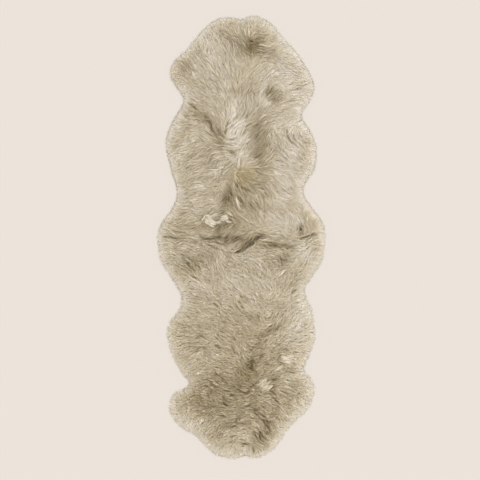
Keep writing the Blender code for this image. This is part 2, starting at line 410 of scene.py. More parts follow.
def doubled(vectors):
    """Directions at twice their angle, so that opposite ones become the same."""
    x, y = vectors[..., 0], vectors[..., 1]
    return np.stack([x * x - y * y, 2 * x * y], -1)


def halved(vectors):
    """Back from twice the angle to the angle."""
    angles = np.arctan2(vectors[..., 1], vectors[..., 0]) / 2
    return np.stack([np.cos(angles), np.sin(angles)], -1)


def noise_map(size, seed):
    """Smooth hills and hollows over the whole grid, with a spread of 1."""
    hills = blurred(np.random.default_rng(seed).normal(0, 1, top.shape), size)
    return hills / hills.std()


def combed(places):
    """What the strokes leave at each place: the way of the tips, and the lie at twice its angle."""
    tips, lies = np.zeros_like(places), np.zeros_like(places)
    for _, right, up, heading, reach in STROKES:
        off = places - np.array((right, up)) * MM
        weight = 1 / (STROKE_CORE + (off**2).sum(-1, keepdims=True) / (reach * MM) ** 2) ** 2
        angle = math.radians(heading)
        stroke = np.array((math.cos(angle), math.sin(angle)))
        tips += weight * stroke
        lies += weight * doubled(stroke)
    return unit(tips), unit(lies)


way_out = unit(-np.stack([inward_x, inward_y], -1))
tips, lies = combed(grid_places)
lies = unit(np.dstack([blurred(lies[..., axis], STROKE_BLEND) for axis in (0, 1)]))
turns = [np.hypot(*np.gradient(lies[..., axis], GRID)) for axis in (0, 1)]
turning = blurred(np.hypot(*turns) / 2, 2 * GRID)  # radians by which the lie changes in a metre
lies = turned(lies, 2 * np.radians(WANDER) * noise_map(WANDER_SIZE, WANDER_SEED))
at_rim = np.exp(-((np.maximum(to_rim, 0) / RIM_TURN) ** 2))[..., None]
lies = lies * (1 - at_rim) + RIM_PULL * doubled(way_out) * at_rim
tips = tips * (1 - at_rim) + RIM_PULL * way_out * at_rim


def direction_at(field, places):
    """A field of directions, looked up at an array of places."""
    return unit(np.stack([look_up(field[..., axis], places) for axis in (0, 1)], -1))


def headings_at(places):
    """The lie of the wool at each place, in the sense in which the tips point there."""
    lie = halved(direction_at(lies, places))
    forward = (lie * direction_at(tips, places)).sum(-1, keepdims=True) > 0
    return np.where(forward, lie, -lie)


print(len(STROKES), "strokes, fastest turn", round(float(turning[inside].max())), "radians a metre")

# %% [markdown]
# ## Painted light and shade, and where the wool is warmer
# A fleece isn't one colour: its tips are bleached and its depths are yellowish. Broad soft patches,
# turned to lie along the folds, lighten or darken the locks that grow in them, and tint them warm
# or cool. Most of their darkening is painted shade, in hollows, valleys, partings, the whorl and
# along the seam, and most of their lightening is painted light on ridges and on the sunny right
# side. The rest of it, and all the warmth, is the wool's own colour.

# %% Lay out the patches of tone
PATCHES = (
    # name, right, up, half length, half width, turn, lighter, warmer: lighter is mostly painted light and
    # shade, warmer is the wool's own colour
    ("upper pelt", 0, 480, 900, 330, 90, -0.01, -0.25),
    ("lower pelt", 0, -520, 420, 330, 90, -0.03, 0.45),
    ("whorl", 48, 782, 56, 40, 0, -0.34, 0.5),
    ("eye of the whorl", 32, 762, 30, 24, 20, -0.3, 0.5),
    ("under the whorl", 42, 724, 50, 18, -4, -0.2, 0.3),
    ("left shoulder rim", -203, 722, 45, 22, 45, -0.1, 0),
    ("left arm of the whorl", -52, 795, 55, 20, -48, -0.2, 0.1),
    ("right arm of the whorl", 110, 742, 60, 24, -40, -0.2, 0),
    ("top of the crown", -10, 862, 60, 20, 0, -0.12, 0),
    ("light left shoulder", -112, 742, 70, 42, -55, 0.13, -0.1),
    ("left arm", -255, 655, 55, 42, 60, -0.16, 0.1),
    ("light right shoulder", 175, 660, 110, 60, -60, 0.12, -0.1),
    ("warm neck", 0, 640, 60, 60, 0, -0.02, 0.35),
    ("pit", 128, 578, 34, 18, -40, -0.34, 0.1),
    ("light strand by the pit", 86, 600, 34, 11, 62, 0.18, -0.1),
    ("light chest", 84, 530, 34, 24, 40, 0.18, -0.1),
    ("faint parting", -10, 585, 60, 8, -6, -0.26, 0.25),
    ("left armpit", -200, 505, 50, 26, -45, -0.12, 0),
    ("left valley", -118, 440, 80, 28, -62, -0.22, 0.1),
    ("spine", -30, 395, 115, 44, -82, 0.24, -0.1),
    ("left edge of the spine", -88, 400, 90, 9, -84, -0.2, 0),
    ("valley right of the spine", 78, 375, 150, 34, 90, -0.28, 0.2),
    ("right foot of the valley", 122, 345, 34, 26, 80, -0.12, 0.1),
    ("spot at the right rim", 262, 385, 26, 24, 80, -0.2, 0.2),
    ("light right flank", 205, 330, 190, 60, 86, 0.12, -0.15),
    ("left flank", -200, 250, 130, 60, 90, -0.05, 0.05),
    ("middle of the back", 0, 170, 130, 90, 90, -0.2, 0.4),
    ("hollow of the back", 10, 252, 36, 32, 0, -0.14, 0.6),
    ("fork", -60, 165, 62, 12, 78, -0.3, 0.1),
    ("stain in the back", 6, 244, 34, 34, 0, 0, 1.4),
    ("dark band over the seam", -110, 42, 190, 26, -3, -0.2, 0.2),
    ("light over the seam", 150, 60, 60, 34, 0, 0.14, -0.1),
    ("light left of the crease", 40, 52, 40, 22, -20, 0.14, 0),
    ("light by the seam notch", 236, 56, 24, 16, 60, 0.12, 0),
    ("right seam corner", 285, 62, 42, 30, 60, -0.14, 0.2),
    ("right seam notch", 240, 32, 26, 8, 78, -0.4, 0),
    ("seam left", -250, 2, 80, 8, 0, -0.1, 0),
    ("seam middle", -70, -4, 110, 14, 2, -0.3, 0.1),
    ("left hip", -205, -110, 95, 40, 36, -0.2, 0.15),
    ("right hip", 172, -95, 60, 34, -20, -0.2, 0.2),
    ("light right hip", 232, -72, 60, 34, 32, 0.18, -0.1),
    ("fold below the seam", 120, -32, 110, 10, -6, -0.3, 0.2),
    ("crossing of the seam", 12, -30, 48, 8, 38, -0.5, 0),
    ("back of the hips", 0, -190, 170, 80, -6, 0.1, 0.05),
    ("left side of the loin", -200, -190, 60, 40, 90, 0.08, 0),
    ("right thigh", 225, -345, 100, 45, 80, 0.14, -0.35),
    ("left rim of the thigh", -270, -400, 120, 28, 92, -0.04, 0.3),
    ("dark saddle", -20, -400, 120, 90, 0, -0.07, 0.1),
    ("streak on the saddle", 130, -365, 60, 14, 34, -0.18, 0.1),
    ("dark croup", 50, -510, 110, 50, 50, -0.14, 0.15),
    ("hollow of the croup", 30, -515, 62, 17, 68, -0.22, 0.1),
    ("dark shoulders", -50, -590, 220, 70, 0, -0.2, 0.05),
    ("dark end", 0, -690, 180, 60, 0, -0.17, 0.05),
    ("dark left of the end", -82, -770, 60, 28, 28, -0.14, 0),
    ("dark corner of the end", 88, -802, 50, 26, 55, -0.2, 0.1),
    ("dark beside the rump tuft", 124, -584, 26, 24, 0, -0.14, 0.1),
    ("dark left leg", -170, -660, 60, 40, -25, -0.16, 0.1),
    ("dark right side of the end", 118, -735, 80, 24, 52, -0.14, 0.1),
    ("light left side of the end", -220, -745, 80, 34, -42, 0.14, 0),
    ("light right side of the end", 220, -700, 100, 34, 56, 0.14, 0.05),
    ("light tip", -30, -845, 90, 26, 0, 0.12, 0),
)
RIM_BAND_WIDTH, RIM_BAND_PAINTED_LIGHT = 18 * MM, 0.20  # how far in from the rim the wool is thin and evener, and how much painted light brightens it there


def rim_band_at(places):
    """1 at the rim, where the wool is thin and gets painted light, and less and less further in."""
    return np.exp(-((np.maximum(look_up(to_rim, places), 0) / RIM_BAND_WIDTH) ** 2))


def weight_of(places, right, up, half_length, half_width, turn):
    """A soft ellipse, in millimetres: 1 in its middle and falling off outwards."""
    off = places - np.array((right, up)) * MM
    angle = math.radians(turn)
    along = (off[..., 0] * math.cos(angle) + off[..., 1] * math.sin(angle)) / (half_length * MM)
    across = (off[..., 1] * math.cos(angle) - off[..., 0] * math.sin(angle)) / (half_width * MM)
    return np.exp(-(along**2) - across**2)


def painted_light_and_tone_of(places):
    """How much lighter, by painted light and shade and by the wool's own tone, and how much warmer the wool
    is at each place.
    """
    painted_light_and_tone, warmer = RIM_BAND_PAINTED_LIGHT * rim_band_at(places), 0
    for _, *ellipse, light, warm in PATCHES:
        weight = weight_of(places, *ellipse)
        painted_light_and_tone, warmer = painted_light_and_tone + light * weight, warmer + warm * weight
    return painted_light_and_tone, warmer


print(len(PATCHES), "patches")

# %% [markdown]
# Between staples the fleece parts in narrow slits, and here and there a strand lies on top. Each
# is a short dash, mostly along the wool. Locks in a slit lie deeper and are darkened by painted
# shade, those in a strand are lighter and stand out.

# %% Lay out slits and strands
SLITS = (
    # name, right, up, half length, turn, lighter: below 0 it is painted shade in a slit
    ("left armpit", -206, 536, 10, -34, -0.3),
    ("left armpit", -194, 522, 17, -45, -0.4),
    ("left armpit", -186, 492, 22, -41, -0.25),
    ("left ribs", -224, 486, 15, 9, -0.3),
    ("left valley", -150, 490, 17, -45, -0.3),
    ("left valley", -134, 468, 16, -39, -0.45),
    ("left valley", -122, 448, 15, -81, -0.5),
    ("left valley", -118, 430, 12, -45, -0.5),
    ("edge of the ridge", -57, 448, 18, 80, -0.5),
    ("edge of the ridge", -63, 428, 17, 78, -1.0),
    ("edge of the ridge", -75, 410, 19, 60, -0.4),
    ("foot of the ridge", -95, 368, 15, 90, -0.4),
    ("foot of the ridge", -69, 376, 13, 53, -0.3),
    ("foot of the ridge", -31, 340, 17, -34, -0.4),
    ("foot of the ridge", 1, 352, 11, 0, -0.3),
    ("left flank", -164, 392, 9, -45, -0.35),
    ("left flank", -130, 356, 15, -81, -0.4),
    ("left flank", -120, 327, 9, 45, -0.6),
    ("left flank", -122, 313, 13, 11, -0.35),
    ("left flank", -200, 325, 16, 27, -0.3),
    ("left flank", -220, 410, 15, 9, -0.25),
    ("left flank", -216, 279, 12, 27, -0.35),
    ("left flank", -164, 237, 11, 14, -0.25),
    ("spot in the ridge", -20, 417, 13, 4, -0.7),
    ("edge of the ridge", -50, 474, 14, 74, -0.2),
    ("strand of the ridge", -33, 468, 13, 40, -0.5),
    ("strand of the ridge", -39, 446, 15, 40, -0.6),
    ("strand of the ridge", -19, 484, 12, 50, -0.4),
    ("strand of the ridge", 5, 488, 12, 45, -0.4),
    ("strand of the ridge", 19, 484, 12, 45, -0.5),
    ("strand of the ridge", 23, 448, 15, 45, -0.6),
    ("strand of the ridge", 13, 424, 13, 50, -0.4),
    ("strand of the ridge", -31, 392, 20, 2, -0.5),
    ("strand of the ridge", -39, 368, 15, -15, -0.5),
    ("strand of the ridge", 17, 376, 18, 20, -0.5),
    ("strand of the ridge", 25, 362, 12, 35, -0.4),
    ("strand of the ridge", -41, 338, 13, -40, -0.6),
    ("light strand of the ridge", -29, 488, 14, 45, 0.25),
    ("light strand of the ridge", -37, 457, 14, 42, 0.25),
    ("light strand of the ridge", 8, 470, 14, 48, 0.2),
    ("light strand of the ridge", 11, 406, 16, 48, 0.25),
    ("light strand of the ridge", -48, 408, 14, 10, 0.3),
    ("light strand of the ridge", -42, 384, 16, -4, 0.3),
    ("light strand of the ridge", -30, 366, 16, -12, 0.25),
    ("light strand of the ridge", 26, 390, 16, 30, 0.3),
    ("light strand of the ridge", -5, 331, 14, 80, 0.25),
    ("pit", 101, 573, 20, -76, -0.5),
    ("pit", 120, 583, 13, 79, -0.45),
    ("pit", 118, 554, 16, -27, -0.35),
    ("pit", 142, 548, 19, 0, -0.3),
    ("right of the pit", 176, 583, 21, -6, -0.2),
    ("right of the pit", 192, 548, 17, 0, -0.2),
    ("under the pit", 101, 520, 17, 34, -0.25),
    ("right chest", 168, 506, 15, 31, -0.2),
    ("top of the valley", 61, 450, 19, 40, -0.45),
    ("valley", 99, 366, 12, 45, -0.4),
    ("valley", 61, 321, 16, 51, -0.3),
    ("right flank", 184, 410, 13, -79, -0.4),
    ("right flank", 192, 392, 13, -53, -0.45),
    ("right flank", 208, 376, 16, -39, -0.35),
    ("right flank", 204, 408, 16, -63, -0.25),
    ("right flank", 222, 380, 17, -34, -0.25),
    ("right flank", 194, 354, 10, -56, -0.35),
    ("right flank rim", 266, 416, 16, 18, -0.35),
    ("right flank rim", 282, 380, 12, -63, -0.5),
    ("under the ridge", -81, 255, 15, 81, -0.35),
    ("under the ridge", -67, 283, 14, 45, -0.35),
    ("under the ridge", -41, 287, 14, -22, -0.35),
    ("under the ridge", -9, 295, 19, 83, -0.35),
    ("hollow of the back", -23, 213, 16, -51, -0.5),
    ("hollow of the back", 5, 197, 16, -27, -0.35),
    ("hollow of the back", 19, 191, 19, -30, -0.3),
    ("fork", -43, 177, 10, 90, -0.9),
    ("fork", -45, 163, 9, 30, -0.8),
    ("fork", -55, 153, 12, 51, -0.7),
    ("fork", -73, 147, 10, 34, -0.35),
    ("fork", -45, 139, 15, -81, -0.35),
    ("fork", -11, 155, 14, -45, -0.55),
    ("fork", 3, 139, 16, -63, -0.3),
    ("left waist", -204, 123, 17, 34, -0.3),
    ("left waist", -232, 96, 15, 9, -0.5),
    ("over the left tuft", -154, 78, 16, 39, -0.5),
    ("beside the tufts", -160, 74, 10, 40, -0.9),
    ("beside the tufts", -134, 90, 8, 80, -0.8),
    ("beside the tufts", -84, 92, 9, 60, -1.1),
    ("beside the tufts", -46, 88, 10, -30, -1.3),
    ("under the tufts", -57, 65, 9, 50, -1.3),
    ("under the tufts", -67, 57, 9, 60, -1.0),
    ("under the tufts", -91, 50, 9, 0, -0.8),
    ("under the tufts", -91, 40, 9, 80, -0.9),
    ("under the tufts", -120, 42, 9, 45, -0.35),
    ("under the tufts", -95, 16, 10, -56, -0.4),
    ("over the seam left", -250, 22, 25, -10, -0.5),
    ("crease", 89, 88, 22, 77, -0.45),
    ("crease", 83, 54, 15, 81, -0.4),
    ("crease", 81, 12, 14, 68, -0.5),
    ("right seam corner", 258, 88, 14, 68, -0.4),
    ("right seam corner", 274, 88, 21, 90, -0.25),
    ("right seam notch", 233, 20, 18, -88, -1.4),
    ("right seam notch", 238, 14, 14, -88, -1.2),
    ("right seam fold", 254, 2, 18, 16, -0.6),
    ("right seam fold", 288, 14, 16, 21, -0.4),
    ("seam left", -310, 2, 14, 22, -0.4),
    ("seam left", -268, -2, 16, -18, -0.5),
    ("seam middle", -136, -4, 19, -7, -0.5),
    ("seam middle", -91, 0, 15, 9, -0.5),
    ("seam middle", -57, 4, 12, 45, -0.5),
    ("seam middle", -19, 0, 15, -9, -0.5),
    ("under the seam left", -184, -18, 12, -27, -0.35),
    ("under the seam left", -111, -40, 16, -27, -0.35),
    ("under the seam left", -85, -26, 18, -16, -0.4),
    ("crossing of the seam", -11, -56, 14, 18, -0.9),
    ("crossing of the seam", 13, -46, 12, 27, -0.9),
    ("crossing of the seam", 31, -28, 17, 8, -0.6),
    ("crossing of the seam", 39, -16, 10, -60, -0.9),
    ("crossing of the seam", -1, -50, 12, 25, -0.7),
    ("crossing of the seam", 60, -2, 12, 40, -0.5),
    ("crossing of the seam", 81, 18, 12, 50, -0.4),
    ("speck by the crossing", -62, -18, 8, 60, -0.5),
    ("speck by the crossing", -40, -10, 8, -30, -0.5),
    ("speck by the crossing", -24, -12, 8, 80, -0.5),
    ("speck by the crossing", 8, -12, 8, -20, -0.4),
    ("crossing of the seam", 63, -2, 16, 39, -0.5),
    ("fold below the seam", 120, -22, 25, -10, -0.35),
    ("fold below the seam", 126, -36, 15, -9, -0.3),
    ("fold below the seam", 172, -32, 22, -18, -0.3),
    ("left hip", -266, -46, 10, -34, -0.3),
    ("left hip", -296, -104, 10, -56, -0.35),
    ("left hip", -214, -108, 12, -45, -0.35),
    ("left hip", -186, -161, 15, -31, -0.5),
    ("left hip", -264, -137, 11, -14, -0.3),
    ("left hip", -172, -119, 9, -45, -0.4),
    ("left hip", -164, -96, 7, 27, -0.35),
    ("right hip", 166, -90, 20, -14, -0.35),
    ("loin", 114, -119, 12, -63, -0.25),
    ("loin", 51, -76, 13, -79, -0.2),
    ("right waist", 218, -177, 19, 40, -0.3),
    ("right waist", 208, -215, 13, 53, -0.3),
    ("right hip corner", 256, -161, 17, 8, -0.3),
    ("right hip corner", 292, -50, 14, 22, -0.3),
    ("back", -103, -269, 13, -37, -0.45),
    ("back", -89, -263, 13, -53, -0.25),
    ("back", -19, -277, 16, -51, -0.4),
    ("back", 1, -275, 12, -63, -0.4),
    ("back", -1, -237, 9, -18, -0.3),
    ("back", 27, -243, 10, -34, -0.25),
    ("saddle", 65, -319, 12, -63, -0.35),
    ("saddle", -71, -342, 13, -37, -0.3),
    ("saddle", 107, -370, 13, 11, -0.3),
    ("saddle", 142, -362, 13, 37, -0.4),
    ("saddle", 65, -402, 16, -27, -0.35),
    ("saddle", 81, -392, 14, -45, -0.3),
    ("saddle", 142, -426, 13, -37, -0.4),
    ("left thigh", -174, -398, 15, 31, -0.35),
    ("left thigh", -154, -398, 15, -31, -0.4),
    ("left thigh", -150, -442, 13, -11, -0.3),
    ("left thigh", -226, -482, 15, 31, -0.25),
    ("left thigh", -186, -456, 13, 53, -0.3),
    ("back", -33, -404, 19, -30, -0.35),
    ("back", -97, -438, 12, -45, -0.35),
    ("right thigh", 176, -450, 21, 6, -0.35),
    ("right thigh", 150, -474, 10, 56, -0.4),
    ("right thigh", 152, -496, 14, -22, -0.4),
    ("hollow of the croup", 39, -514, 17, -82, -0.6),
    ("hollow of the croup", 49, -498, 10, -56, -0.45),
    ("hollow of the croup", 77, -474, 14, 68, -0.35),
    ("hollow of the croup", 55, -540, 10, -34, -0.35),
    ("croup left", -99, -550, 15, -9, -0.35),
    ("croup left", -77, -563, 17, -45, -0.35),
    ("rump left", -138, -595, 13, -11, -0.4),
    ("rump left", -116, -587, 16, -51, -0.4),
    ("rump left", -134, -629, 15, -81, -0.45),
    ("rump left", -120, -617, 12, -63, -0.35),
    ("rump left", -67, -669, 12, -27, -0.5),
    ("rump middle", -63, -579, 7, 27, -0.4),
    ("rump middle", -61, -615, 13, -11, -0.5),
    ("rump middle", -39, -631, 11, -14, -0.6),
    ("rump middle", 3, -617, 14, -22, -0.55),
    ("rump middle", 25, -619, 13, 37, -0.55),
    ("beside the rump tuft", 47, -591, 20, 36, -0.4),
    ("beside the rump tuft", 120, -599, 13, 11, -0.55),
    ("beside the rump tuft", 124, -569, 14, 22, -0.4),
    ("beside the rump tuft", 126, -621, 14, -45, -0.5),
    ("rump right", 132, -647, 23, -45, -0.4),
    ("rump middle", 21, -675, 15, 9, -0.4),
    ("end middle", -71, -715, 15, -9, -0.35),
    ("end middle", -17, -727, 13, 11, -0.45),
    ("end middle", -7, -743, 23, -6, -0.5),
    ("end middle", -35, -755, 19, 7, -0.5),
    ("end middle", -39, -796, 15, 9, -0.35),
    ("end middle", 13, -826, 19, 0, -0.6),
    ("end middle", -43, -818, 12, 27, -0.35),
    ("end middle", 55, -691, 13, 11, -0.4),
    ("end middle", 59, -707, 13, -11, -0.4),
    ("end right", 87, -715, 15, -31, -0.4),
    ("end right", 97, -735, 20, -21, -0.5),
    ("end right", 99, -753, 19, -50, -0.45),
    ("end right", 53, -790, 17, -56, -0.45),
    ("end right", 45, -812, 16, -51, -0.35),
    ("end right", 73, -798, 15, 90, -0.4),
    ("end right", 47, -850, 15, -81, -0.45),
    ("end right", 176, -729, 14, -22, -0.35),
    ("light strand over the crease", 79, 88, 29, 86, 0.3),
    ("light strand in the back", -27, 255, 27, 90, 0.25),
    ("light strand by the ridge", 130, 442, 18, 74, 0.3),
    ("light strand by the rump tuft", 63, -591, 26, 38, 0.35),
    ("light strand of the rump", 13, -667, 16, 27, 0.35),
    ("light strand at the end", 146, -753, 17, -56, 0.3),
    ("light strand at the end", 178, -713, 16, -18, 0.3),
    ("light strand at the end", 59, -749, 13, 0, 0.35),
)
SLIT_WIDTH, SLIT_DEPTH = 4.5, 9 * MM  # half the width in millimetres, depth for a tone of 1


def slit_at(places):
    """How much lighter these narrow dashes make the wool, or in a slit how much darker by painted shade."""
    return sum(
        light * weight_of(places, right, up, half_length, SLIT_WIDTH, turn)
        for _, right, up, half_length, turn, light in SLITS
    )


print(len(SLITS), "slits and strands")

# %% [markdown]
# ## Scattering the locks
# Locks stand at the points of an even lattice, each pushed a little off its point, so that they
# are neither in rows nor in heaps. Neighbours cling together: each lock belongs to a clump, and
# its tip is drawn to the clump's middle line. Clumps are longer along the wool than across it,
# and are what the eye reads as staples.

# %% Scatter places and find their clumps
CLUMP_STRETCH = 2.0  # length of a clump over its width
PLACE_JITTER, CLUMP_JITTER = 0.42, 0.45  # how far points are pushed, as shares of their pitch
PAST_SEAM = 0.1  # how far beyond the seam a lattice starts, before it is trimmed


def scattered(side, pitch, rng, least):
    """Places on one pelt, at an uneven triangular lattice, with the rim at least so far away."""
    row_pitch = pitch * math.sqrt(3) / 2
    start = low.y if side < 0 else -PAST_SEAM
    end = high.y if side > 0 else PAST_SEAM
    ys = np.arange(start, end, row_pitch)
    xs = np.arange(low.x, high.x, pitch)
    lattice = np.array([(x + pitch / 2 * (k % 2), y) for k, y in enumerate(ys) for x in xs])
    lattice += rng.uniform(-PLACE_JITTER, PLACE_JITTER, lattice.shape) * pitch
    inner = (look_up(to_rim, lattice) > least) & (beyond_seam(lattice, side) > pitch / 8)
    return lattice[inner]


def clumps_of(places, headings, size, rng):
    """For each place its clump's middle and number, and how many clumps there may be."""
    shape = (int(2 * high.y / size) + 6, int(2 * high.x / size) + 6)
    start = np.array((low.x, low.y)) - 3 * size
    jitter = rng.uniform(-CLUMP_JITTER, CLUMP_JITTER, (*shape, 2))
    cell = ((places - start) / size).astype(int)
    best = np.full(len(places), np.inf)
    middle, number = np.zeros_like(places), np.zeros(len(places), int)
    for up in range(-2, 3):
        for right in range(-2, 3):
            j = np.clip(cell[:, 0] + right, 0, shape[1] - 1)
            i = np.clip(cell[:, 1] + up, 0, shape[0] - 1)
            centre = start + (np.stack([j, i], -1) + 0.5 + jitter[i, j]) * size
            off = centre - places
            along = (off * headings).sum(-1)
            apart = (off**2).sum(-1) - (1 - CLUMP_STRETCH**-2) * along**2
            nearer = apart < best
            best[nearer], middle[nearer] = apart[nearer], centre[nearer]
            number[nearer] = (i * shape[1] + j)[nearer]
    return middle, number, shape[0] * shape[1]


# %% [markdown]
# ## One lock of wool
# A lock is a thin closed spindle with three sides: a point at the root, two or three rings and
# a point at the tip. It leaves the depth of the fleece, bends over in the combed direction and
# lies on the wool's surface. All locks of a piece are worked out at once as arrays.

# %% Lay the course of each lock
# how far along a lock its points are, for locks of two and of three rings
STATIONS = {2: np.array((0, 0.3, 0.7, 1)), 3: np.array((0, 0.22, 0.52, 0.8, 1))}
RING_WIDTHS = {2: (0.95, 0.85), 3: (0.8, 1.0, 0.68)}  # shares of the lock's width
SIDES = 3
FLOOR_GAP = 0.8 * MM  # how far above the floor the wool's middle lines stay
GATHER_LATE = 1.4  # a lock is drawn to its clump more and more towards its tip


def course(places, headings, lengths, curls, middles, gather, at):
    """Each lock's stations as seen from above, with its middle at its place."""
    path = np.repeat((places - headings * lengths[:, None] / 2)[:, None], len(at), 1)
    for k in range(1, len(at)):
        angles = curls * ((at[k] + at[k - 1]) / 2 - 0.5)
        step = (lengths * (at[k] - at[k - 1]))[:, None]
        path[:, k] = path[:, k - 1] + step * turned(headings, angles)
    pull = middles - places
    pull -= (pull * headings).sum(-1, keepdims=True) * headings
    return path + pull[:, None] * (gather * at**GATHER_LATE)[None, :, None]


def spindles(paths, widths, thickness, twists, ring_widths):
    """The vertices of every lock: root point, rings and tip point."""
    along = unit(np.gradient(paths, axis=1))
    surface = np.dstack([
        -look_up(slope_x, paths), -look_up(slope_y, paths), np.ones(paths.shape[:2])
    ])
    side = unit(np.cross(along, surface))
    up = np.cross(side, along)
    points = [paths[:, 0]]
    for k, share in enumerate(ring_widths, 1):
        half = (widths * share / 2)[:, None]
        for corner in range(SIDES):
            angle = (2 * math.pi * corner / SIDES - math.pi / 2 + twists)[:, None]
            sideways = side[:, k] * np.cos(angle) * half
            upward = up[:, k] * np.sin(angle) * half * thickness
            points.append(paths[:, k] + sideways + upward)
    points = np.stack([*points, paths[:, -1]], 1)
    points[..., 2] = np.maximum(points[..., 2], FLOOR_GAP / 2)
    return points


# %% [markdown]
# A mesh of ten thousand locks is one pattern of faces repeated. Each corner of it also gets two
# sets of texture coordinates. The first runs round and along its lock, for lines along the
# wool. The second gives every lock a small cell of its own, so that its colours can be stored.

# %% Turn the arrays into a mesh
CELL_MARGIN = 0.08  # share of a lock's cell that stays free at each side


def lock_pattern(rings):
    """One lock's faces, each as a list of corners: (vertex, place round, place along)."""
    at = STATIONS[rings]
    faces = []
    for corner in range(SIDES):
        left, right = corner / SIDES, (corner + 1) / SIDES
        here = [1 + k * SIDES + corner for k in range(rings)]
        after = [1 + k * SIDES + (corner + 1) % SIDES for k in range(rings)]
        middle = (left + right) / 2
        faces.append([(0, middle, 0), (after[0], right, at[1]), (here[0], left, at[1])])
        for k in range(rings - 1):
            faces.append([
                (here[k], left, at[k + 1]), (after[k], right, at[k + 1]),
                (after[k + 1], right, at[k + 2]), (here[k + 1], left, at[k + 2]),
            ])
        tip = (1 + rings * SIDES, middle, 1)
        faces.append([(here[-1], left, at[rings]), (after[-1], right, at[rings]), tip])
    return faces


def linked(mesh):
    """The mesh, smoothly shaded, as an object in the scene."""
    mesh.shade_smooth()
    piece = bpy.data.objects.new(mesh.name, mesh)
    bpy.context.scene.collection.objects.link(piece)
    return piece


def mesh_of_locks(name, points, rings, tone, warmth, seed):
    """One object of all the locks. Their tones, given at each station, become attributes."""
    count, per_lock = points.shape[:2]
    pattern = lock_pattern(rings)
    sizes = np.array([len(face) for face in pattern])
    corners = np.array([corner for face in pattern for corner in face])
    mesh = bpy.data.meshes.new(name)
    mesh.vertices.add(count * per_lock)
    mesh.vertices.foreach_set("co", points.astype(np.float32).ravel())
    loops = (corners[:, 0][None] + per_lock * np.arange(count)[:, None]).ravel()
    mesh.loops.add(len(loops))
    mesh.loops.foreach_set("vertex_index", loops.astype(np.int32))
    mesh.polygons.add(count * len(sizes))
    starts = np.cumsum(np.tile(sizes, count)) - np.tile(sizes, count)
    mesh.polygons.foreach_set("loop_start", starts.astype(np.int32))
    mesh.update(calc_edges=True)

    place = corners[:, 1:]
    lock_uv = mesh.uv_layers.new(name="lock")
    lock_uv.data.foreach_set("uv", np.tile(place, (count, 1)).astype(np.float32).ravel())
    side = math.ceil(math.sqrt(count))
    cell = np.stack([np.arange(count) % side, np.arange(count) // side], -1)[:, None]
    stored = (cell + CELL_MARGIN + (1 - 2 * CELL_MARGIN) * place[None]) / side
    mesh.uv_layers.new(name="OFBake").data.foreach_set("uv", stored.astype(np.float32).ravel())
    lot = np.repeat(np.random.default_rng(seed).uniform(0, 1, (count, 1)), rings + 2, 1)
    around = [1, *[SIDES] * rings, 1]
    for label, values in (("tone", tone), ("warmth", warmth), ("lot", lot)):
        attribute = mesh.attributes.new(label, "FLOAT", "POINT")
        spread = np.repeat(values, around, 1).astype(np.float32)
        attribute.data.foreach_set("value", spread.ravel())
    print(name, count, "locks", count * 2 * SIDES * rings, "triangles")
    return linked(mesh)


# %% [markdown]
# ## Layers of wool
# The fleece is laid in layers, as it grows. Broad flat staples lie deepest and close the gaps.
# Longer, slimmer locks lie on them and give the streaks that the eye follows. Fine loose wisps
# lie on top of all. Each layer has its own clumps, so no two layers gather alike.

# %% Lay the layers
LAYERS = (
    # Thickness and gather are shares, unevenness is in degrees, the rest in millimetres.
    # name, pitch, width, thickness, length, sink, lift, clump, gather, unevenness
    ("staples", 10.2, 10, 0.4, 56, 12, -3.0, 22, 0.40, 5),
    ("locks", 6.3, 4.0, 0.5, 60, 11, -0.6, 13, 0.55, 6),
    ("wisps", 6.3, 2.4, 0.6, 52, 8, 0.2, 11, 0.45, 9),
)
LENGTHS = {"upper": 1.0, "lower": 0.46}  # the wool of the lower pelt stands up more
LOCK_TONE = {"upper": 0.03, "lower": 0.06}
CLUMP_TONE, CLUMP_LIFT, LOCK_LIFT = 0.04, 1.6 * MM, 0.8 * MM
MOTTLE_SIZE, MOTTLE_TONE = 13 * MM, 0.05  # soft lobes of lighter and darker wool
UNEVENNESS = {
    # in light wool, how much darkness adds, at most, and that of the headings over that of the tone
    "upper": (0.90, 1.4, 1.5, 0.9),
    "lower": (1.00, 1.6, 1.65, 1.3),
}
RIM_EVEN = 0.85  # how much evener the thin wool at the rim is
EDGE_SINK, EDGE_PAINTED_SHADE = 3.0 * MM, 0.14  # how much deeper a clump lies at its edges, and how much painted shade darkens it there
SEAM_PARTING = 0.5 * MM  # gap between the fleeces
CROSSERS, FEWER_CROSSERS = 0.8, 0.5  # share of the locks across it, and how gaping lessens it
TURN_UNEVEN, MOST_TURNED = 0.05, 4  # a fast turn of the lie leaves the headings uneven
CURL = 24  # degrees by which the swirls bend a lock from root to tip
LAYER_INSET = 2 * MM  # how far in from the rim the outermost locks stand
LENGTH_RANGE, WIDTH_RANGE = (0.8, 1.15), (0.75, 1.25)  # shares of the layer's own
TIP_REACH, TIP_SPREAD = 0.94, 0.12  # of the overhang, how far the tips at the rim get
OUTWARD = 0.2  # how much a lock must point outwards for the rim to limit it
DEEPEST_ROOT = 0.6  # share of the wool's height below which no root is sunk
TWIST = 25  # degrees by which the locks are turned about their own line
CLUMP_WARMTH = 0.12  # how much the clumps differ in warmth
RINGS = 2
CURL_SIZE = 40 * MM
curl_map = noise_map(CURL_SIZE, 11)
mottle_map = noise_map(MOTTLE_SIZE, 13)
wool_pieces = {"upper": [], "lower": []}


def kept_off_seam(path, side, crosses):
    """The courses held on their own side of the line where the fleeces meet."""
    over = np.maximum(SEAM_PARTING - beyond_seam(path, side), 0)
    return np.dstack([path[..., 0], path[..., 1] + np.where(crosses[:, None], 0, side * over)])


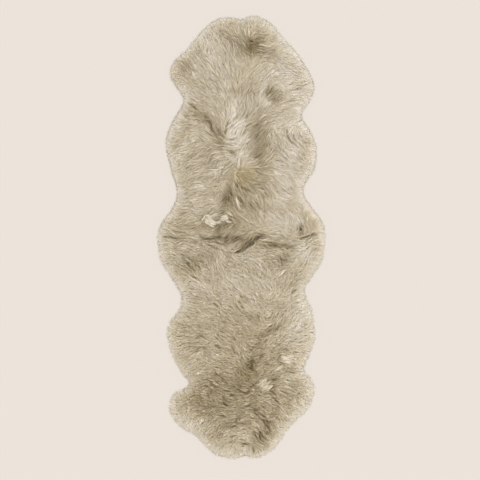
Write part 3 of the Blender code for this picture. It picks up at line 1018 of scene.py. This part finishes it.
def lay_layer(pelt, layer, seed):
    """One layer of wool on one pelt."""
    name, pitch, width, thickness, length, sink, lift, clump, gather, uneven = layer
    rng = np.random.default_rng(seed)
    places = scattered(PELTS[pelt], pitch * MM, rng, LAYER_INSET)
    count = len(places)
    headings = headings_at(places)
    middles, number, clumps = clumps_of(places, headings, clump * MM, rng)
    smooth, per_darkness, most, of_headings = UNEVENNESS[pelt]
    roughness = np.clip(smooth - per_darkness * painted_light_and_tone_of(places)[0], smooth, most)
    roughness *= 1 - RIM_EVEN * rim_band_at(places)
    at_turns = TURN_UNEVEN * look_up(turning, places)
    disorder = np.minimum(of_headings * roughness + at_turns, MOST_TURNED)

    def vary(for_clump, for_lock, amount=roughness):
        """Chance, part of it shared by the clump, and more of it where the wool is dark."""
        shared = rng.normal(0, for_clump, clumps)[number]
        return amount * (shared + rng.normal(0, for_lock, count))

    off = middles - places
    across = np.linalg.norm(off - (off * headings).sum(-1, keepdims=True) * headings, axis=-1)
    edge = np.clip(across / (clump * MM / 2), 0, 1) ** 2
    headings = turned(headings, np.radians(vary(uneven, uneven / 2, disorder)))
    curls = np.radians(CURL * look_up(curl_map, middles) + vary(2 * uneven, uneven))
    lengths = length * MM * LENGTHS[pelt] * rng.uniform(*LENGTH_RANGE, count)
    outward = (headings * direction_at(way_out, places)).sum(-1)
    room = look_up(to_rim, places) + WOOL_OVERHANG * rng.normal(TIP_REACH, TIP_SPREAD, count)
    room = room / np.maximum(outward, OUTWARD)
    lengths = np.where(outward > OUTWARD, np.minimum(lengths, 2 * room), lengths)
    at = STATIONS[RINGS]
    path = course(places, headings, lengths, curls, middles, gather, at)
    crossing = rng.uniform(0, 1, count) < CROSSERS - FEWER_CROSSERS * gape_at(places)
    path = kept_off_seam(path, PELTS[pelt], crossing)
    # painted shade in the slits, lighter strands, and the depth at which both lie
    slit = slit_at(path)
    sinks = np.minimum(sink * MM, DEEPEST_ROOT * look_up(drape, places))
    lifts = lift * MM + vary(CLUMP_LIFT, LOCK_LIFT) - EDGE_SINK * roughness * edge
    height = look_up(drape, path) - sinks[:, None] * (1 - at) ** 3 + lifts[:, None] + SLIT_DEPTH * slit
    paths = np.dstack([path, np.maximum(height, FLOOR_GAP)])
    widths = width * MM * rng.uniform(*WIDTH_RANGE, count)
    twists = np.radians(rng.normal(0, TWIST, count))
    points = spindles(paths, widths, thickness, twists, RING_WIDTHS[RINGS])
    # The patches and the rim band bring painted light and shade, and the slits painted shade.
    painted_light_and_tone, warmer = painted_light_and_tone_of(path)
    # painted shade darkens each clump towards its edges, between the staples; the rest is each lock's own
    # chance tone
    own_tone = vary(CLUMP_TONE, LOCK_TONE[pelt]) - EDGE_PAINTED_SHADE * roughness * edge
    own_tone += MOTTLE_TONE * look_up(mottle_map, middles)
    tones = painted_light_and_tone + slit + own_tone[:, None]
    warmths = warmer + vary(CLUMP_WARMTH, 0)[:, None]
    piece = mesh_of_locks(f"{pelt}_{name}", points, RINGS, tones, warmths, seed + 1)
    wool_pieces[pelt].append(piece)


for pelt_number, pelt in enumerate(PELTS):
    for layer_number, layer in enumerate(LAYERS):
        lay_layer(pelt, layer, 100 * pelt_number + 10 * layer_number + 1)

# %% [markdown]
# ## Curly tufts
# A few staples have been pulled out of the fleece by use. They lie on top of it as pale curls and
# catch the light. Each tuft is a handful of long bent locks that start side by side.

# %% Lay the tufts
TUFTS = (
    # name, right, up, half length, half width, heading of the middle, curl, locks, lighter
    ("left tuft", -126, 64, 22, 12, -34, 24, 76, 0.18),
    ("left tuft, upper curl", -137, 84, 14, 4, -24, -60, 10, 0.10),
    ("left tuft, hook", -152, 74, 14, 3, 50, -60, 6, 0.02),
    ("left tuft, tail", -96, 62, 14, 4, 14, 50, 10, 0.10),
    ("right tuft", -72, 80, 16, 9, 12, 40, 40, 0.15),
    ("right tuft, outer curl", -50, 92, 14, 5, -30, -40, 12, 0.06),
    ("right tuft, lower curl", -56, 66, 14, 4, -30, 30, 10, 0.06),
    ("curl by the fork", -15, 136, 24, 4, -68, 14, 12, 0.12),
    ("wisp under the ridge", -111, 269, 28, 2, -2, -20, 8, 0.06),
    ("wisp beside it", -83, 279, 12, 3, 40, 30, 6, 0.08),
    ("curl at the end of the ridge", -14, 300, 22, 3, 86, 20, 9, 0.20),
    ("tuft on the right thigh", 178, -484, 24, 16, -16, 20, 54, 0.12),
    ("tail of that tuft", 150, -522, 18, 5, 28, 20, 12, 0.08),
    ("tuft of the rump", 90, -588, 26, 20, 30, 30, 44, 0.16),
)
TUFT_LENGTH, TUFT_WIDTH, TUFT_LIFT = 34 * MM, 4.2 * MM, 3.0 * MM
TUFT_RINGS = 3
TUFT_USUAL = 22  # half length of a tuft whose locks have the full length, in millimetres
TUFT_STARTS = 0.6  # share of a tuft's half length along which its locks start
TUFT_SWEEP, TUFT_TOSS = 0.13, 1.2 * MM  # how much its locks differ in heading, in radians, and height
TUFT_THICKNESS = 0.6  # over its width
TUFT_SHADE, TUFT_UNEVEN = 0.4, 0.08  # share of the fleece's tone, its painted light and shade included, that it takes on, and its own chance
TUFT_COOLER = 0.2


def tufts(pelt, seed):
    """All tufts of one pelt as one piece."""
    rng = np.random.default_rng(seed)
    handfuls = []
    for _, right, up, half_length, half_width, heading, curl, count, light in TUFTS:
        if up * PELTS[pelt] < 0:
            continue
        angle = np.full(count, math.radians(heading))
        along, across = rng.uniform(-1, 1, (2, count)) * MM
        off = np.stack([along * half_length * TUFT_STARTS, across * half_width], -1)
        start = turned(off, angle) + np.array((right, up)) * MM
        bend = math.radians(curl) * rng.uniform(0.5, 1.5, count)
        sweep = angle + rng.normal(0, TUFT_SWEEP, count)
        size = half_length / TUFT_USUAL * rng.uniform(0.8, 1.2, count)
        handfuls.append(np.column_stack([start, sweep, bend, size, np.full(count, light)]))
    places, sweep, bend, size, light = np.split(np.vstack(handfuls), [2, 3, 4, 5], axis=1)
    headings = np.hstack([np.cos(sweep), np.sin(sweep)])
    at = STATIONS[TUFT_RINGS]
    path = course(places, headings, TUFT_LENGTH * size[:, 0], bend[:, 0], places, 0, at)
    rise = TUFT_LIFT * (1 - (2 * at - 1) ** 2) + rng.normal(0, TUFT_TOSS, size.shape)
    paths = np.dstack([path, look_up(drape, path) + rise])
    widths = TUFT_WIDTH * rng.uniform(0.7, 1.2, len(places))
    points = spindles(paths, widths, TUFT_THICKNESS, np.zeros(len(places)), RING_WIDTHS[TUFT_RINGS])
    painted_light_and_tone, warmer = painted_light_and_tone_of(path)
    tones = TUFT_SHADE * painted_light_and_tone + light + rng.normal(0, TUFT_UNEVEN, size.shape)
    warmths = warmer - TUFT_COOLER
    piece = mesh_of_locks(f"{pelt}_tufts", points, TUFT_RINGS, tones, warmths, seed + 1)
    wool_pieces[pelt].append(piece)


tufts("upper", 401)
tufts("lower", 402)

# %% [markdown]
# ## The rim
# Where the skin ends, the wool has nothing to lie on. It hangs over the edge and fans out on the
# floor as a soft fringe, at every height from the skin up, so that the side of the throw shows
# wool and not a wall.

# %% Fan the wool out round the rim
RIM_ROWS = (
    # inset and height of the roots in millimetres, share of the overhang
    (4, 3, 0.96),
    (6, 7, 1.00),
    (9, 12, 1.04),
    (12, 18, 1.08),
    (13, 24, 0.88),
    (15, 31, 0.76),
)
ROOT_DEPTH = 9 * MM  # how far the highest roots stay below the top of the wool
LOWEST_ROOT = 2 * MM
RIM_PITCH, RIM_LOCK, RIM_LOCK_PAINTED_LIGHT = 3.5, 3.4, 0.13  # pitch and width in millimetres, and how much painted light brightens the rim's locks
RIM_CLUMP, RIM_GATHER = 8 * MM, 0.35
RIM_FAN, RIM_FRAY, RIM_CURL = 0.25, 0.15, 0.8  # radians: clumps turn, single locks turn, clumps curl
RIM_LENGTH_SPREAD, RIM_TONE_SPREAD = 0.15, 0.03
RIM_FALL = 0.7  # share of its root's height by which a tip has fallen
RIM_THICKNESS = 0.5  # over its width


def fringe_rim(pelt, seed):
    """Rows of wool that fan out from the rim of one pelt."""
    rng = np.random.default_rng(seed)
    spots = []
    for inset, height, share in RIM_ROWS:
        band = scattered(PELTS[pelt], RIM_PITCH * MM, rng, (inset - RIM_PITCH / 2) * MM)
        band = band[look_up(to_rim, band) < (inset + RIM_PITCH / 2) * MM]
        level = np.broadcast_to((height * MM, share), (len(band), 2))
        spots.append(np.hstack([band, level]))
    spots = np.vstack(spots)
    places, shares = spots[:, :2], spots[:, 3]
    heights = np.minimum(spots[:, 2], look_up(drape, places) - ROOT_DEPTH).clip(LOWEST_ROOT)
    count = len(places)
    out = direction_at(way_out, places)
    middles, number, clumps = clumps_of(places, out, RIM_CLUMP, rng)
    fanned = rng.normal(0, RIM_FAN, clumps)[number] + rng.normal(0, RIM_FRAY, count)
    headings = turned(out, fanned)
    overhang = WOOL_OVERHANG * shares * rng.normal(1.0, RIM_LENGTH_SPREAD, count)
    lengths = look_up(to_rim, places) + overhang
    curls = rng.normal(0, RIM_CURL, clumps)[number]
    at = STATIONS[RINGS]
    lying_at = places + headings * lengths[:, None] / 2
    path = course(lying_at, headings, lengths, curls, middles, RIM_GATHER, at)
    fallen = heights[:, None] * (1 - RIM_FALL * at**3) + FLOOR_GAP
    paths = np.dstack([path, fallen])
    widths = RIM_LOCK * MM * rng.uniform(0.7, 1.2, count)
    points = spindles(paths, widths, RIM_THICKNESS, np.zeros(count), RING_WIDTHS[RINGS])
    painted_light_and_tone, warmer = painted_light_and_tone_of(path)
    # painted light makes the fringe paler than the shade at the rim would leave it
    tones = painted_light_and_tone + RIM_LOCK_PAINTED_LIGHT + rng.normal(0, RIM_TONE_SPREAD, clumps)[number][:, None]
    piece = mesh_of_locks(f"{pelt}_rim_wool", points, RINGS, tones, warmer, seed + 1)
    wool_pieces[pelt].append(piece)


fringe_rim("upper", 301)
fringe_rim("lower", 302)

# %% [markdown]
# ## The skins and the underwool
# The tanned skin is the backing: soft cream suede, about two millimetres thick, cut a little
# smaller than the wool reaches. On it the underwool is a dense springy mass that no light gets
# through. Both need the pelt's outline, drawn in by some distance. A net is raised like an island
# whose height is the distance to the rim, and a level cut through it leaves that shoreline.

# %% Cut an outline out of a net
SEAM_EDGE = 0.3 * MM  # half the width of the joint between the skins


def cut_out(side, inset, pitch):
    """A net of faces over the part of one pelt that is at least so far in from the rim."""
    xs = np.arange(low.x - pitch, high.x + 2 * pitch, pitch)
    ys = side * (SEAM_EDGE + np.arange(0, high.y + 2 * pitch, pitch))
    heights = look_up(to_rim, np.stack(np.meshgrid(xs, ys), -1)) - inset
    net = bmesh.new()
    verts = [
        [net.verts.new((x, y, z)) for x, z in zip(xs, line)] for y, line in zip(ys, heights)
    ]
    for near, far in zip(verts, verts[1:]):
        for k in range(len(xs) - 1):
            net.faces.new((near[k], near[k + 1], far[k + 1], far[k]))
    bmesh.ops.bisect_plane(
        net,
        geom=[*net.verts, *net.edges, *net.faces],
        plane_co=(0, 0, 0),
        plane_no=(0, 0, 1),
        clear_inner=True,
    )
    bmesh.ops.remove_doubles(net, verts=net.verts, dist=pitch / 6)
    return net


def thicken(net, tops, foot):
    """Closes the net into a slab between its tops and the level of its foot."""
    upper = net.verts[:]
    grown = bmesh.ops.extrude_face_region(net, geom=net.faces[:])["geom"]
    for vertex in (item for item in grown if isinstance(item, bmesh.types.BMVert)):
        vertex.co.z = foot
    for vertex, height in zip(upper, tops):
        vertex.co.z = height
    bmesh.ops.triangulate(net, faces=[f for f in net.faces if len(f.verts) > 4])
    bmesh.ops.recalc_face_normals(net, faces=net.faces[:])


def placed(net, name):
    """The net as an object in the scene."""
    mesh = bpy.data.meshes.new(name)
    net.to_mesh(mesh)
    net.free()
    print(name, len(mesh.polygons), "faces")
    return linked(mesh)


# %% [markdown]
# The underwool follows the wool's surface some way down, with lumps of its own, and stands on
# the skin. The skin's edges are rounded over, as a cut edge of soft leather is.

# %% Make the underwool and the skins
SKIN, SKIN_INSET, SKIN_NET = 2.2 * MM, 9 * MM, 12 * MM
UNDERWOOL_DEPTH, UNDERWOOL_INSET, UNDERWOOL_NET = 9 * MM, 5 * MM, 7 * MM
UNDERWOOL_SHARE = 0.45  # of the wool's height, the most that its top lies deeper
UNDERWOOL_LUMPS, LUMP_SIZE = 1.3 * MM, 9 * MM
SKIN_ROUNDING = 0.6 * MM
lump_map = noise_map(LUMP_SIZE, 21)


def underwool(pelt):
    net = cut_out(PELTS[pelt], UNDERWOOL_INSET, UNDERWOOL_NET)
    places = np.array([v.co.xy[:] for v in net.verts])
    wool_top = look_up(drape, places)
    tops = wool_top - np.minimum(UNDERWOOL_DEPTH, UNDERWOOL_SHARE * wool_top)
    tops += UNDERWOOL_LUMPS * look_up(lump_map, places)
    thicken(net, np.maximum(tops, 2 * SKIN), SKIN)
    return placed(net, f"{pelt}_underwool")


def skin(pelt):
    net = cut_out(PELTS[pelt], SKIN_INSET, SKIN_NET)
    thicken(net, [SKIN] * len(net.verts), 0)
    area = sum(f.calc_area() for f in net.faces if f.normal.z < -0.9)
    sharp = [e for e in net.edges if e.calc_face_angle(0) > 1]
    bmesh.ops.bevel(net, geom=sharp, offset=SKIN_ROUNDING, segments=2, affect="EDGES")
    print(pelt, "skin area", round(area, 3), "square metres")
    return placed(net, f"{pelt}_skin"), area


underwool_pieces = {pelt: underwool(pelt) for pelt in PELTS}
skins = {pelt: skin(pelt) for pelt in PELTS}

# %% [markdown]
# ## The seam
# The two straight ends are whipped together from the skin side with waxed thread. One thread
# goes over the joint and back through both skins, again and again, in short slanting stitches.

# %% Sew the seam
STITCH, STITCH_HALF, THREAD = 4.5 * MM, 2.4 * MM, 0.42 * MM
THREAD_SIDES = 6


def seam_thread():
    """A round thread along the joint, over the skins and through them by turns."""
    seam_row = np.argmin(np.abs(rows))
    sewn = columns[to_rim[seam_row] > SKIN_INSET + 2 * MM]
    count = int((sewn[-1] - sewn[0]) / STITCH)
    stops = []
    for k in range(count):
        x = sewn[0] + k * STITCH
        stops += [
            (x, -STITCH_HALF, SKIN / 2),
            (x + 0.1 * STITCH, -0.7 * STITCH_HALF, THREAD * 1.1),
            (x + 0.4 * STITCH, 0.7 * STITCH_HALF, THREAD * 1.1),
            (x + 0.5 * STITCH, STITCH_HALF, SKIN / 2),
        ]
    path = np.array(stops)
    along = unit(np.gradient(path, axis=0))
    side = unit(np.cross(along, (0, 0, 1)))
    up = np.cross(side, along)
    angles = 2 * math.pi * np.arange(THREAD_SIDES) / THREAD_SIDES
    circle = side[:, None] * np.cos(angles)[:, None] + up[:, None] * np.sin(angles)[:, None]
    points = (path[:, None] + THREAD * circle).reshape(-1, 3)
    last = len(path) - 1
    faces = [
        (k * THREAD_SIDES + a, k * THREAD_SIDES + b, (k + 1) * THREAD_SIDES + b, (k + 1) * THREAD_SIDES + a)
        for k in range(last)
        for a, b in zip(range(THREAD_SIDES), [*range(1, THREAD_SIDES), 0])
    ]
    faces.append(tuple(reversed(range(THREAD_SIDES))))
    faces.append(tuple(last * THREAD_SIDES + a for a in range(THREAD_SIDES)))
    mesh = bpy.data.meshes.new("seam_thread")
    mesh.from_pydata(points.tolist(), [], faces)
    print(mesh.name, count, "stitches")
    return linked(mesh)


thread = seam_thread()

# %% [markdown]
# ## Shader maths
# A material is a sum: this much of one colour, less that, times a pattern. The class below wraps
# a socket, so that such a sum can be written as one, and each operator adds its Math node.

# %% Wrap a socket
class Wire:
    """A socket in a material. Sums with it add Math nodes, and node() adds any other node."""

    def __init__(self, tree, socket=None):
        self.tree, self.socket = tree, socket

    def node(self, kind, settings=None, output=0, **inputs):
        """Adds a node: its settings first, then its sockets by name, or by i and their number."""
        made = self.tree.nodes.new(kind)
        for name, value in (settings or {}).items():
            setattr(made, name, value)
        for name, value in inputs.items():
            key = int(name[1:]) if name[1:].isdigit() else name.replace("_", " ")
            if isinstance(value, Wire):
                self.tree.links.new(value.socket, made.inputs[key])
            else:
                made.inputs[key].default_value = value
        return Wire(self.tree, made.outputs[output])

    def sum(self, operation, first, second):
        return self.node("ShaderNodeMath", {"operation": operation}, i0=first, i1=second)

    def __add__(self, other):
        return self.sum("ADD", self, other)

    def __sub__(self, other):
        return self.sum("SUBTRACT", self, other)

    def __mul__(self, other):
        return self.sum("MULTIPLY", self, other)

    def __pow__(self, other):
        return self.sum("POWER", self, other)

    __radd__ = __add__
    __rmul__ = __mul__

    def __rsub__(self, other):
        return self.sum("SUBTRACT", other, self)

    def held(self, lowest, highest):
        """The value kept between two limits."""
        return self.sum("MINIMUM", self.sum("MAXIMUM", self, lowest), highest)

    def scaled(self, colour):
        """A colour made brighter or darker by this value."""
        return self.node("ShaderNodeVectorMath", {"operation": "SCALE"}, i0=colour, Scale=self)

    def ramp(self, stops):
        """A colour read off a row of stops, each a position and a colour."""
        made = self.node("ShaderNodeValToRGB", i0=self)
        elements = made.socket.node.color_ramp.elements
        while len(elements) < len(stops):
            elements.new(1)
        for element, (position, colour) in zip(elements, stops):
            element.position, element.color = position, colour
        return made

    def between(self, first, second):
        """One colour where this value is 0, the other where it is 1."""
        settings = {"data_type": "RGBA"}
        return self.node("ShaderNodeMix", settings, output=2, i0=self, i6=first, i7=second)


def new_material(name, **constants):
    """A material, its tree as a Wire, and a function that feeds its shader's sockets."""
    material = bpy.data.materials.new(name)
    material.use_nodes = True
    tree = material.node_tree
    shader = tree.nodes["Principled BSDF"]
    for socket, value in constants.items():
        shader.inputs[socket.replace("_", " ")].default_value = value

    def feed(**wires):
        for socket, wire in wires.items():
            tree.links.new(wire.socket, shader.inputs[socket.replace("_", " ")])

    return material, Wire(tree), feed


# %% [markdown]
# ## Wool
# Undyed wool is matt with a faint sheen. Each lock runs from a yellowish root to a pale tip. Its
# tone and warmth come from where it grows: the tone holds painted light and shade as well as the
# wool's own lighter and darker parts, and where the warmth is highest the wool is stained reddish.
# Fine lines along it stand for single fibres, and they lighten, darken and raise the surface.

# %% Paint the wool
# The darkest stops, reached only where the tone brings painted shade, are deep and saturated like wool in
# shade.
COOL_WOOL = (
    # share of light, colour
    (0.0, (0.20, 0.150, 0.080, 1)),
    (0.4, (0.47, 0.380, 0.240, 1)),
    (0.75, (0.76, 0.665, 0.510, 1)),
    (1.0, (0.90, 0.825, 0.710, 1)),
)
WARM_WOOL = (
    (0.0, (0.20, 0.140, 0.060, 1)),
    (0.4, (0.46, 0.360, 0.190, 1)),
    (0.75, (0.74, 0.615, 0.400, 1)),
    (1.0, (0.89, 0.790, 0.600, 1)),
)
STAINED_WOOL = (
    (0.0, (0.20, 0.120, 0.055, 1)),
    (0.4, (0.47, 0.320, 0.180, 1)),
    (0.75, (0.72, 0.540, 0.360, 1)),
    (1.0, (0.87, 0.720, 0.530, 1)),
)


def wool_material():
    material, wire, feed = new_material(
        "wool", Sheen_Weight=0.15, Sheen_Roughness=0.5, Specular_IOR_Level=0.25
    )
    around_along = wire.node("ShaderNodeUVMap", {"uv_map": "lock"})
    around = wire.node("ShaderNodeSeparateXYZ", Vector=around_along)
    along = wire.node("ShaderNodeSeparateXYZ", output=1, Vector=around_along)
    tone, warmth, lot = (
        wire.node("ShaderNodeAttribute", {"attribute_name": label}, output=2)
        for label in ("tone", "warmth", "lot")
    )
    fibres_at = wire.node(
        "ShaderNodeCombineXYZ", X=around * 11 + lot * 91, Y=along * 2.5, Z=lot * 37
    )
    fibres = wire.node("ShaderNodeTexNoise", Vector=fibres_at, Scale=1.0, Detail=3.0, Roughness=0.6)
    from_root = 1 - (1 - along).held(0, 1) ** 3
    # the root-to-tip change and the fibres are the wool's own; the tone adds painted light and shade
    light = (from_root * 0.42 + 0.4 + tone + (fibres - 0.5) * 0.22).held(0, 1)
    cool = light.ramp(COOL_WOOL)
    warm = light.ramp(WARM_WOOL)
    undyed = (warmth * 0.7 + 0.35).held(0, 1).between(cool, warm)
    stain = ((warmth - 1.2) * 0.6).held(0, 0.8)
    colour = stain.between(undyed, light.ramp(STAINED_WOOL))
    rough = (fibres * 0.25 + 0.72).held(0, 1)
    raised = wire.node("ShaderNodeBump", Strength=0.4, Distance=0.0006, Height=fibres)
    feed(Base_Color=colour, Roughness=rough, Normal=raised)
    return material


wool = wool_material()


# %% [markdown]
# The underwool is the same wool seen in its depth: warmer, without single locks, and darker by
# painted shade, so that the gaps between the locks look shaded. The suede is cream with darker
# clouds and a fine nap, and the thread is spun from two strands.

# %% Paint the underwool, the skin and the thread
def underwool_material():
    material, wire, feed = new_material("underwool", Sheen_Weight=0.15, Roughness=0.95)
    place = wire.node("ShaderNodeTexCoord", output=3)
    clumps = wire.node("ShaderNodeTexNoise", Vector=place, Scale=90.0, Detail=4.0)
    # darker than the locks by painted shade, so that the gaps between them look shaded, and warmer as deep
    # wool is
    colour = clumps.between((0.26, 0.205, 0.125, 1), (0.44, 0.365, 0.24, 1))
    raised = wire.node("ShaderNodeBump", Strength=0.8, Distance=0.003, Height=clumps)
    feed(Base_Color=colour, Normal=raised)
    return material


def skin_material():
    material, wire, feed = new_material("suede", Sheen_Weight=0.3, Specular_IOR_Level=0.2)
    place = wire.node("ShaderNodeTexCoord", output=3)
    clouds = wire.node("ShaderNodeTexNoise", Vector=place, Scale=9.0, Detail=5.0, Roughness=0.6)
    nap = wire.node("ShaderNodeTexNoise", Vector=place, Scale=900.0, Detail=2.0)
    colour = clouds.between((0.50, 0.39, 0.25, 1), (0.74, 0.64, 0.48, 1))
    raised = wire.node("ShaderNodeBump", Strength=0.35, Distance=0.0004, Height=nap + clouds * 3)
    feed(
        Base_Color=(nap * 0.3 + 0.85).scaled(colour), Roughness=nap * 0.2 + 0.75, Normal=raised
    )
    return material


def thread_material():
    material, wire, feed = new_material("waxed_thread", Specular_IOR_Level=0.4)
    place = wire.node("ShaderNodeTexCoord", output=3)
    turns = {"wave_type": "BANDS", "bands_direction": "DIAGONAL"}
    strands = wire.node("ShaderNodeTexWave", turns, output=1, Vector=place, Scale=260.0)
    colour = strands.between((0.45, 0.36, 0.24, 1), (0.72, 0.62, 0.46, 1))
    raised = wire.node("ShaderNodeBump", Strength=0.5, Distance=0.0002, Height=strands)
    feed(Base_Color=colour, Roughness=strands * 0.15 + 0.5, Normal=raised)
    return material


underwool_painted_shade_finish = underwool_material()
skin_finish = skin_material()
thread_finish = thread_material()

# %% [markdown]
# ## Fixing the pieces to the frame
# Nothing on the throw moves, so every piece rides on its one body. The skins, the underwool and
# the wool are shown, and the plain solids of the pelts are hidden.


def fasten(piece, finish):
    piece.data.materials.clear()
    piece.data.materials.append(finish)
    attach(piece, "root")


for pelt in PELTS:
    sheet, area = skins[pelt]
    fasten(sheet, skin_finish)
    fasten(underwool_pieces[pelt], underwool_painted_shade_finish)
    for piece in wool_pieces[pelt]:
        fasten(piece, wool)
    fleece = [underwool_pieces[pelt], *wool_pieces[pelt]]
    for piece in fleece:
        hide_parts(f"{pelt}_pelt")
fasten(thread, thread_finish)

# %% [markdown]
# ## Floor, light and camera
# A pale floor and soft even light suit a product picture. A broad sun from the right side makes
# that flank a little lighter and gives the folds some shade. The camera looks straight down.

# %% Set the stage
PIXEL = 4.018 * MM  # one pixel of the picture on the floor
FRAME_CENTRE = (-7 * MM, -10 * MM)
LENS, SENSOR = 100, 36
WOOL_LEVEL = 25 * MM  # where the picture's scale is taken

distance_up = 480 * PIXEL * LENS / SENSOR + WOOL_LEVEL
camera = bpy.data.objects.new("camera", bpy.data.cameras.new("camera"))
camera.data.lens, camera.data.sensor_width = LENS, SENSOR
camera.location = (*FRAME_CENTRE, distance_up)
bpy.context.scene.collection.objects.link(camera)
bpy.context.scene.camera = camera

bpy.ops.mesh.primitive_plane_add(size=40, location=(0, 0, -0.1 * MM))
floor = bpy.context.object
floor.name = "floor"
LIGHT = 1.15  # on the floor, where 1 shows a white floor as full white
FLOOR_SHOWS = (0.84, 0.775, 0.708)
FLOOR_GLOW = 0.9  # share of the floor's brightness that comes from within, as on a light table
floor_colour = [(1 - FLOOR_GLOW) * channel / LIGHT for channel in FLOOR_SHOWS]
glow_colour = (*FLOOR_SHOWS, 1)
floor_finish, _, _ = new_material(
    "floor", Base_Color=(*floor_colour, 1), Roughness=0.9, Specular_IOR_Level=0.0,
    Emission_Color=glow_colour, Emission_Strength=FLOOR_GLOW,
)
floor.data.materials.append(floor_finish)

SUN_SHARE = 0.15  # of the light that reaches the floor
SUN_FROM = Vector((0.5, 0.25, 1)).normalized()
WALLS, CEILING = 1.6, 0.7  # how bright they are, where together they light a floor fully
world = bpy.data.worlds.new("studio")
world.use_nodes = True
backdrop = world.node_tree.nodes["Background"]
room = Wire(world.node_tree)
up = room.node("ShaderNodeSeparateXYZ", output=2, Vector=room.node("ShaderNodeTexCoord"))
brightness = (WALLS - (WALLS - CEILING) * up.held(0, 1)) * (LIGHT * (1 - SUN_SHARE))
world.node_tree.links.new(brightness.socket, backdrop.inputs["Strength"])
backdrop.inputs["Color"].default_value = (1, 1, 1, 1)
bpy.context.scene.world = world
sun = bpy.data.objects.new("sun", bpy.data.lights.new("sun", "SUN"))
sun.data.energy = LIGHT * SUN_SHARE * math.pi / SUN_FROM.z
sun.data.angle = math.radians(28)
sun.rotation_euler = SUN_FROM.to_track_quat("Z", "Y").to_euler()
bpy.context.scene.collection.objects.link(sun)
bpy.context.scene.view_settings.view_transform = "Standard"
